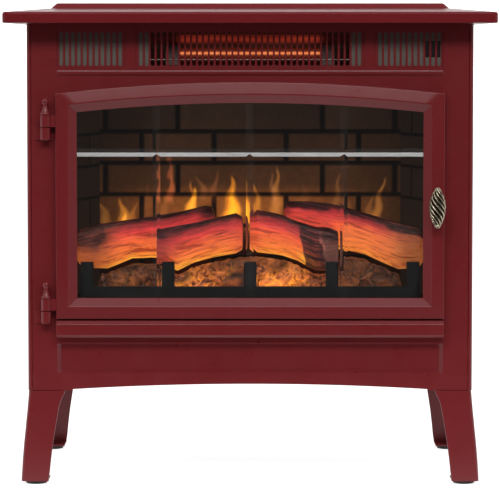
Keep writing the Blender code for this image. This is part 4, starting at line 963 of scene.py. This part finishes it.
def log_look(name, x, t, uy):
    """Glow colour and how charred the wood is, at a place along the log and a height on it."""
    stops = [(-0.10, lin(255, 186, 52)), (0.03, lin(255, 160, 56)), (0.13, lin(244, 126, 48)), (0.38, lin(242, 108, 48)), (0.56, lin(240, 92, 52)),
             (0.68, lin(222, 60, 56)), (0.80, lin(190, 34, 48)), (0.93, lin(128, 18, 34)), (1.1, lin(60, 12, 20))]
    c = stops[-1][1]
    for (t0, c0), (t1, c1) in zip(stops, stops[1:]):
        if t <= t1:
            c = mixc(c0, c1, max(0.0, (t - t0) / (t1 - t0)))
            break
    char = 0.40 * smooth(0.66, 0.80, t) + 0.34 * smooth(0.84, 0.98, t)
    if name == "log_left":
        far = smooth(-0.150, -0.200, x)
        c = mixc(c, lin(158, 78, 36), 0.85 * far)
        char = max(char, 0.42 * far * smooth(0.30, 0.75, t) + 0.36 * far)
        char = max(char, 0.85 * smooth(-0.165, -0.195, x) * smooth(0.55, 0.80, t))
        back = smooth(-0.128, -0.112, x)
        c = mixc(c, lin(206, 46, 52), 0.70 * back * smooth(0.98, 0.55, t))
        char = max(char, 0.34 * back + 0.45 * smooth(-0.075, -0.050, x) * smooth(0.4, 0.8, t))
    elif name == "log_centre_left":
        far = smooth(-0.080, -0.112, x)
        c = mixc(c, lin(150, 26, 46), 0.80 * far)
        char = max(char, 0.36 * far + 0.62 * far * smooth(0.66, 0.86, t), 0.70 * smooth(-0.055, -0.090, x) * smooth(0.74, 0.88, t))
        c = mixc(c, lin(255, 176, 56), 0.75 * bump1(x, -0.082, 0.022) * smooth(0.30, 0.02, t))
        c = mixc(c, lin(196, 62, 52), 0.60 * smooth(-0.030, -0.012, x))
    elif name == "log_centre_right":
        c = mixc(c, lin(214, 74, 52), 0.45 * smooth(0.024, 0.006, x))
        c = mixc(c, lin(255, 196, 54), 0.85 * bump1(x, 0.0700 + 0.02 * (0.3 - t), 0.016) * smooth(0.40, 0.05, t))
        # a hollow where the bark starts, running down to the right
        hollow = bump1(x, 0.0790 - 0.012 * (t - 0.5), 0.019)
        char = max(char, 1.0 * smooth(0.25, 0.8, hollow), 0.80 * smooth(0.0450, 0.0700, x) * smooth(0.55, 0.85, t))
        bark = smooth(0.0860, 0.0930, x)
        c = mixc(c, lin(112, 70, 62), bark)
        char = max(char, 0.42 * bark)
        c = mixc(c, lin(190, 120, 100), 0.8 * bump1(x, 0.0905 - 0.006 * (t - 0.5), 0.0035))
    else:
        back = smooth(0.112, 0.098, x)
        c = mixc(c, lin(206, 58, 54), 0.70 * back * smooth(0.98, 0.5, t))
        char = max(char, 0.30 * back, 0.80 * back * smooth(0.70, 0.90, t), 0.55 * smooth(0.062, 0.048, x))
        c = mixc(c, lin(232, 128, 62), 0.45 * smooth(0.112, 0.120, x) * smooth(0.85, 0.6, t))
        far = smooth(0.150, 0.205, x)
        c = mixc(c, lin(150, 92, 44), 0.72 * far)
        char = max(char, 0.44 * far, 0.85 * smooth(0.150, 0.185, x) * smooth(0.72, 0.90, t))
    top = smooth(0.55, -0.35, uy)
    c = tuple(v * (0.30 + 0.70 * top) for v in c)
    return c, min(1.0, char)


NR = 72
for li, (name, st) in enumerate(LOGS.items()):
    xa, xb = st[0][0], st[-1][0]
    count = int((xb - xa) / (0.0012))
    rings, glows, barks = [], [], []
    for j in range(count + 1):
        f = j / count
        # crowd the rings near the two ends, so that they round over
        x = xa + (xb - xa) * (0.5 - 0.5 * cos(pi * f)) * 0.25 + (xb - xa) * f * 0.75
        yc, ry, z0, z1 = (interp(x, st, k) for k in (1, 2, 3, 4))
        ring = []
        for i in range(NR):
            a = 2 * pi * i / NR
            cy, cz = cos(a), sin(a)
            e = 0.62
            uy = abs(cy) ** e * (1 if cy > 0 else -1)
            uz = abs(cz) ** e * (1 if cz > 0 else -1)
            # split-wood ridges that run along the log
            ridge = noise.noise(Vector((x * 9 + li * 3.3, a * 2.2 + sin(x * 30), li * 5.1))) * 0.0022
            ridge += noise.noise(Vector((x * 26 + li * 7.7, a * 7.0, 2.0))) * 0.0011
            ridge += abs(noise.noise(Vector((x * 14, a * 11.0 + li, 9.0)))) * -0.0012
            ry2, hz = ry + ridge, (z1 - z0) / 2 + ridge * 0.8
            ring.append((x, yc + ry2 * uy, (z0 + z1) / 2 + hz * uz))
            t = (uz + 1) / 2
            wob = 0.06 * noise.noise(Vector((x * 32, li * 4.0, 1.0))) + 0.04 * noise.noise(Vector((x * 90, li * 2.0, a)))
            c, char = log_look(name, x + 0.0045 * noise.noise(Vector((x * 60, t * 5, li * 3.0))) + 0.0020 * noise.noise(Vector((x * 150, t * 14, li * 3.0))), t + wob, uy)
            glows.append(c)
            barks.append((char, t, li * 0.31 + 0.1 * uy))
        rings.append(ring)
    # rounded end faces
    def close(ring, sign, first):
        out = []
        cx = ring[0][0]
        cyy = sum(p[1] for p in ring) / len(ring)
        czz = sum(p[2] for p in ring) / len(ring)
        for q, k in enumerate((0.86, 0.62, 0.36, 0.12)):
            out.append([(cx + sign * 0.0010 * (q + 1) ** 0.3, cyy + (y - cyy) * k, czz + (z - czz) * k) for _, y, z in ring])
        return out
    head = list(reversed(close(rings[0], -1, True)))
    tail = close(rings[-1], 1, False)
    endc = lin(96, 34, 24)
    g_first, g_last = glows[:NR], glows[-NR:]
    glows = [tuple(v * 0.6 for v in g_first[i]) for q in range(4) for i in range(NR)] + glows + [tuple(v * 0.6 for v in g_last[i]) for q in range(4) for i in range(NR)]
    barks = [(0.5, 0.5, li * 0.31)] * (4 * NR) + barks + [(0.5, 0.5, li * 0.31)] * (4 * NR)
    obj = loft("wood_" + name, head + rings + tail)
    obj.data.polygons.foreach_set("use_smooth", [True] * len(obj.data.polygons))
    paint_verts(obj, "glow", glows)
    paint_verts(obj, "bark", barks)
    dress(obj, "cabinet", "log_resin", [name])


# embers: broken lumps heaped between the grate and the logs
def under(x):
    """Lowest wood above x, so that the heap stays beneath it."""
    best = 0.40
    for st in LOGS.values():
        if st[0][0] - 0.004 <= x <= st[-1][0] + 0.004:
            best = min(best, interp(x, st, 3))
    return best


NXE, NFR, NTP = ((460, 52, 40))
verts, faces, glows = [], [], []
NYE = NFR + NTP
for j in range(NYE):
    for i in range(NXE):
        x = -0.1960 + 0.3920 * i / (NXE - 1)
        limit = min(under(x) - 0.0035, 0.2835) + 0.0015 * noise.noise(Vector((x * 60, 1.0, 0)))
        if j < NFR:
            # front of the heap, leaning back as it rises
            f = j / (NFR - 1)
            y, z = -0.0925 + 0.0075 * f * f, 0.2330 + (limit - 0.0040 - 0.2330) * f
            ny, nz = -0.92, 0.38
        else:
            f = (j - NFR + 1) / NTP
            y, z = -0.0850 + (0.0850 - 0.0260) * f, limit - 0.0040 - 0.005 * f
            ny, nz = -0.25, 0.95
            if f > 0.9:
                z = z + (0.2335 - z) * (f - 0.9) / 0.1
        p = Vector((x * 52 + 0.45 * noise.noise(Vector((x * 70, z * 80, 0))), y * 52, z * 60 + 0.4 * noise.noise(Vector((x * 70, z * 80, 9)))))
        dist, _ = noise.voronoi(p, distance_metric="DISTANCE", exponent=2.5)
        lump = min(1.0, (dist[1] - dist[0]) * 1.7) ** 0.6
        mid = noise.noise(Vector((x * 110, y * 110, z * 150)))
        fine = noise.noise(Vector((x * 300, y * 300, z * 420)))
        d = 0.0042 * lump + 0.0011 * mid + 0.0005 * fine - 0.0012
        x2, y2, z2 = x, max(-0.0984, y + ny * d), z + nz * d
        z2 = min(z2, limit)
        edge = smooth(0.1960, 0.1880, abs(x))
        z2 = 0.2335 + (z2 - 0.2335) * edge
        verts.append((x2, y2, max(z2, 0.2332)))
        heat = 0.5 + 0.62 * noise.noise(Vector((x * 26 + 4, 2.0, z * 34)))
        inner = smooth(0.10, 0.62, lump)
        high = smooth(0.250, 0.279, z)
        centre = smooth(0.120, 0.098, abs(x))
        crease = mixc(lin(30, 12, 5), lin(255, 150, 44), smooth(0.36, 0.60, heat) * (0.25 + 0.75 * centre))
        crease = mixc(crease, lin(18, 8, 4), 0.7 * high)
        bodyc = mixc(lin(120, 56, 24), lin(214, 116, 56), smooth(0.30, 0.72, heat + 0.25 * mid))
        c = mixc(crease, bodyc, inner)
        c = tuple(v * (0.30 + 0.95 * centre) * (1.0 - 0.50 * high) for v in c)
        right = smooth(0.165, 0.185, x)
        c = tuple(v * (1 - 0.75 * right) for v in c)
        glows.append(c)
for j in range(NYE - 1):
    for i in range(NXE - 1):
        a = j * NXE + i
        faces.append((a, a + 1, a + NXE + 1, a + NXE))
base = len(verts)
ring = [i for i in range(NXE)] + [j * NXE + NXE - 1 for j in range(1, NYE)] + [(NYE - 1) * NXE + i for i in range(NXE - 2, -1, -1)] + [j * NXE for j in range(NYE - 2, 0, -1)]
for v in ring:
    verts.append((verts[v][0], verts[v][1], 0.2325))
    glows.append(lin(60, 22, 8))
for k in range(len(ring)):
    n = (k + 1) % len(ring)
    faces.append((ring[k], base + k, base + n, ring[n]))
faces.append(tuple(range(base, base + len(ring))))
bed = solid("ember_heap", verts, faces)
bed.data.polygons.foreach_set("use_smooth", [True] * len(bed.data.polygons))
paint_verts(bed, "glow", glows)
dress(bed, "cabinet", "ember_resin", ["ember_bed"])

outline = [(-0.2130, 0.2326), (0.2130, 0.2326)]
for x in (0.205, 0.103, 0.0, -0.103, -0.205):
    outline += [(x + 0.008, 0.2468), (x + 0.008, 0.2772), (x + 0.0072, 0.2780), (x - 0.0072, 0.2780), (x - 0.008, 0.2772), (x - 0.008, 0.2468)]
grate = bevel(prism("grate_bar", outline, "Y", -0.1090, -0.1010), 0.0006, 3, 25)
dress(settle(grate), "cabinet", "black_paint", ["grate"])

# =====================================================================
# heater behind the louvres
# =====================================================================
TY, TZ = -0.098, 0.540
verts, faces, glows = [], [], []
rings = []
for j in range(121):
    x = -0.0970 + 0.1940 * j / 120
    rings.append([(x, y, z) for y, z in circle(TY, TZ, 0.0056, 28)])
for j in range(121):
    x = 0.0970 - 0.1940 * j / 120
    rings.append([(x, y, z) for y, z in circle(TY, TZ, 0.0046, 28)])
obj = loft("quartz_envelope", rings, hoop=True)
for ring in rings:
    for x, y, z in ring:
        band = 0.86 + 0.14 * sin(x * 1150)
        hot_k = smooth(0.0930, 0.0850, abs(x))
        vert_k = exp(-((z - TZ) / 0.0014) ** 2)
        c = mixc(lin(60, 11, 8), (1.25, 0.30, 0.085), vert_k * band)
        glows.append(tuple(v * (0.25 + 0.85 * hot_k) for v in c))
obj.data.polygons.foreach_set("use_smooth", [True] * len(obj.data.polygons))
paint_verts(obj, "glow", glows)
dress(obj, "cabinet", "quartz_glass", ["quartz_tube"])
path = [(-0.0850 + 0.170 * k / 640, TY + 0.0028 * cos(2 * pi * k / 16), TZ + 0.0028 * sin(2 * pi * k / 16)) for k in range(641)]
v, f = tube(path, 0.0005, 6)
dress(settle(solid("filament", v, f), 60), "cabinet", "hot_filament", ["heating_coil"])
trough = prism("reflector", [(-0.1175, 0.5246), (-0.0900, 0.5246), (-0.0830, 0.5280), (-0.0780, 0.5335), (-0.0758, 0.5400), (-0.0762, 0.5460), (-0.0785, 0.5520), (-0.0835, 0.5580), (-0.1175, 0.5660),
                             (-0.1175, 0.5669), (-0.0832, 0.5589), (-0.0778, 0.5526), (-0.0753, 0.5461), (-0.0749, 0.5399), (-0.0772, 0.5329), (-0.0825, 0.5271), (-0.0897, 0.5237), (-0.1175, 0.5237)],
               "X", -0.1330, 0.1330)
dress(settle(trough, 40), "cabinet", "bright_reflector", ["heater_reflector"], mat="reflector_painted_reflection")
for s, tag in ((-1, "left"), (1, "right")):
    cap = box("end_block_" + tag, *sorted((s * 0.0900, s * 0.1060)), -0.1080, -0.0906, 0.5249, 0.5500)
    cut(cap, prism("block_bore_" + tag, circle(TY, TZ, 0.0060, 28), "X", *sorted((s * 0.0800, s * 0.1020)), tool=True))
    dress(settle(bevel(cap, 0.0008, 2)), "cabinet", "white_ceramic", ["tube_cap_" + tag])
v, f = tube([(-0.1320, -0.1202, 0.5320), (-0.1220, -0.1202, 0.5320), (0.1220, -0.1202, 0.5320), (0.1320, -0.1202, 0.5320)], 0.0010, 16)
dress(settle(solid("guard_wire", v, f), 60), "cabinet", "zinc_plate", ["heater_guard"], mat="dull_wire")

# =====================================================================
# rear controls
# =====================================================================
BUTTONS = (("button_power", -0.210), ("button_heat", -0.185), ("button_flame", -0.160))
plate = sheet("control_fascia", rounded(-0.185, 0.520, 0.055, 0.025, 0.003, 6), [rounded(x, 0.520, 0.0046, 0.0046, 0.0010, 4) for _, x in BUTTONS], "Y", 0.1548, 0.1572)
dress(settle(bevel(plate, 0.0005, 2, 40)), "cabinet", "black_plastic", ["control_panel"])
for name, x in BUTTONS:
    rings = []
    for y, d in ((0.1500, 0.0), (0.1580, 0.0), (0.1584, 0.0001), (0.1587, 0.0004), (0.1588, 0.0009)):
        rings.append([(u, y, w) for u, w in rounded(x, 0.520, 0.0041 - d, 0.0041 - d, 0.0009, 5)])
    cap = loft("cap_" + name, rings)
    join(cap, box(name + "_fl", x - 0.0058, x + 0.0058, 0.1510, 0.1543, 0.5142, 0.5258, tool=True),
         prism(name + "_st", circle(x, 0.520, 0.0015, 20), "Y", 0.1460, 0.1505, tool=True))
    dress(settle(cap), name, "black_plastic", [name])
gland = [(0.0068, 0.1500), (0.0068, 0.1547), (0.0106, 0.1547), (0.0110, 0.1551), (0.0110, 0.1574), (0.0107, 0.1580), (0.0098, 0.1584), (0.0090, 0.1592), (0.0082, 0.1600),
         (0.0044, 0.1600), (0.0040, 0.1596), (0.0040, 0.1500)]
dress(settle(loft("strain_relief", [[(x, y, z) for x, z in circle(-0.225, 0.165, r, 40)] for r, y in gland], hoop=True), 40), "cabinet", "foot_rubber", ["cord_gland"])

# =====================================================================
# CAD nodes that show as they are: soften their edges, give them finishes
# =====================================================================
KEEP = {
    "firebox_floor": "firebox_black", "firebox_top": "firebox_black", "magnet_catch": "zinc_plate", "blower_housing": "zinc_plate", "blower_motor": "grey_paint",
    "blower_wheel": "grey_paint", "flame_motor": "zinc_plate", "flame_rotor": "bright_reflector", "led_board": "circuit_laminate", "control_board": "circuit_laminate",
}
for name, look in KEEP.items():
    node = frame["nodes"][name]
    node.data.materials.clear()
    node.data.materials.append(M[look])
    weld = node.modifiers.new("weld", "WELD")
    weld.merge_threshold = 0.00002
    bevel(node, 0.0002, 1, 35)

for tool in list(TOOLS.objects):
    bpy.data.objects.remove(tool)

# =====================================================================
# floor, light, camera
# =====================================================================
def plain(name, color, rough):
    m = Mat(name, color, rough)
    m.b.inputs["Specular IOR Level"].default_value = 0.1
    g = m.noise(2.0, 3)
    return m.wire(color=m.ramp(g, [(0.3, color), (0.7, tuple(min(1.0, c * 1.02) for c in color))]),
                  emission=m.ramp(g, [(0.3, (1.0, 1.0, 1.0)), (0.7, (1.02, 1.02, 1.02))]), strength=0.80)


ground = solid("ground", [(-9, -0.5, 0), (9, -0.5, 0), (9, 14, 0), (-9, 14, 0)], [(0, 1, 2, 3)])
ground.data.materials.append(plain("pale_floor", (0.50, 0.50, 0.50), 0.9))
wallp = solid("backdrop", [(-9, 14, -0.1), (9, 14, -0.1), (9, 14, 7), (-9, 14, 7)], [(0, 1, 2, 3)])
bm_ = Mat("pale_backdrop", (0.9, 0.9, 0.9), 1.0)
g = bm_.noise(0.5, 2)
bm_.wire(emission=bm_.ramp(g, [(0.0, (1.0, 1.0, 1.0)), (1.0, (1.02, 1.02, 1.02))]), strength=1.1)
wallp.data.materials.append(bm_.m)

world = bpy.data.worlds.new("studio")
SC.world = world
world.use_nodes = True
wt = world.node_tree
bg = wt.nodes["Background"]
tc = wt.nodes.new("ShaderNodeTexCoord")
sp = wt.nodes.new("ShaderNodeSeparateXYZ")
wt.links.new(tc.outputs["Generated"], sp.inputs[0])


def wmap(src, a0, a1, b0, b1):
    n = wt.nodes.new("ShaderNodeMapRange")
    n.interpolation_type = "SMOOTHSTEP"
    for k, v in (("From Min", a0), ("From Max", a1), ("To Min", b0), ("To Max", b1)):
        n.inputs[k].default_value = v
    wt.links.new(src, n.inputs["Value"])
    return n.outputs["Result"]


def wmath(op, a, b):
    n = wt.nodes.new("ShaderNodeMath")
    n.operation = op
    for s, v in ((n.inputs[0], a), (n.inputs[1], b)):
        if isinstance(v, (int, float)):
            s.default_value = v
        else:
            wt.links.new(v, s)
    return n.outputs[0]


front = wmap(wmath("MULTIPLY", sp.outputs[1], -1.0), 0.35, 0.80, 0.0, 1.0)
level = wmap(wmath("ABSOLUTE", sp.outputs[2], 0.0), 0.26, 0.50, 1.0, 0.0)
dark = wmath("MULTIPLY", front, level)
ahead = wmap(wmath("MULTIPLY", sp.outputs[1], -1.0), -0.10, 0.30, 0.0, 1.0)
below = wmath("MULTIPLY", wmap(sp.outputs[2], -0.30, 0.10, 0.62, 0.0), ahead)
behind = wmap(sp.outputs[1], -0.05, 0.30, 0.0, 0.16)
plainw = wmath("ADD", wmath("SUBTRACT", 0.90, below), behind)
wt.links.new(wmath("MULTIPLY", plainw, wmath("SUBTRACT", 1.0, wmath("MULTIPLY", dark, 0.90))), bg.inputs["Strength"])
bg.inputs["Color"].default_value = (1.0, 1.0, 1.0, 1)


def area(name, at, to, sx, sy, power, color=(1, 1, 1)):
    data = bpy.data.lights.new(name, "AREA")
    data.shape, data.size, data.size_y, data.energy, data.color = "RECTANGLE", sx, sy, power, color
    obj = bpy.data.objects.new(name, data)
    obj.location = at
    obj.rotation_euler = (Vector(to) - Vector(at)).to_track_quat("-Z", "Y").to_euler()
    SC.collection.objects.link(obj)
    return obj


area("key", (0.0, -2.65, 2.35), (0, -0.1, 0.35), 3.0, 0.7, 72)

cam_data = bpy.data.cameras.new("camera")
cam_data.sensor_width, cam_data.lens = 36.0, 2455.24 * 36 / 500
cam_data.shift_y = -0.10
cam_data.shift_x = -0.0002
cam = bpy.data.objects.new("camera", cam_data)
SC.collection.objects.link(cam)
cam.location = (0.0, -3.18465, 0.55154)
cam.rotation_euler = (radians(90 - 3.543), 0, 0)
cam_data.clip_end = 60
SC.camera = cam
SC.view_settings.view_transform = "Standard"
SC.view_settings.look = "None"
SC.view_settings.exposure = 0.0
SC.view_settings.gamma = 1.0
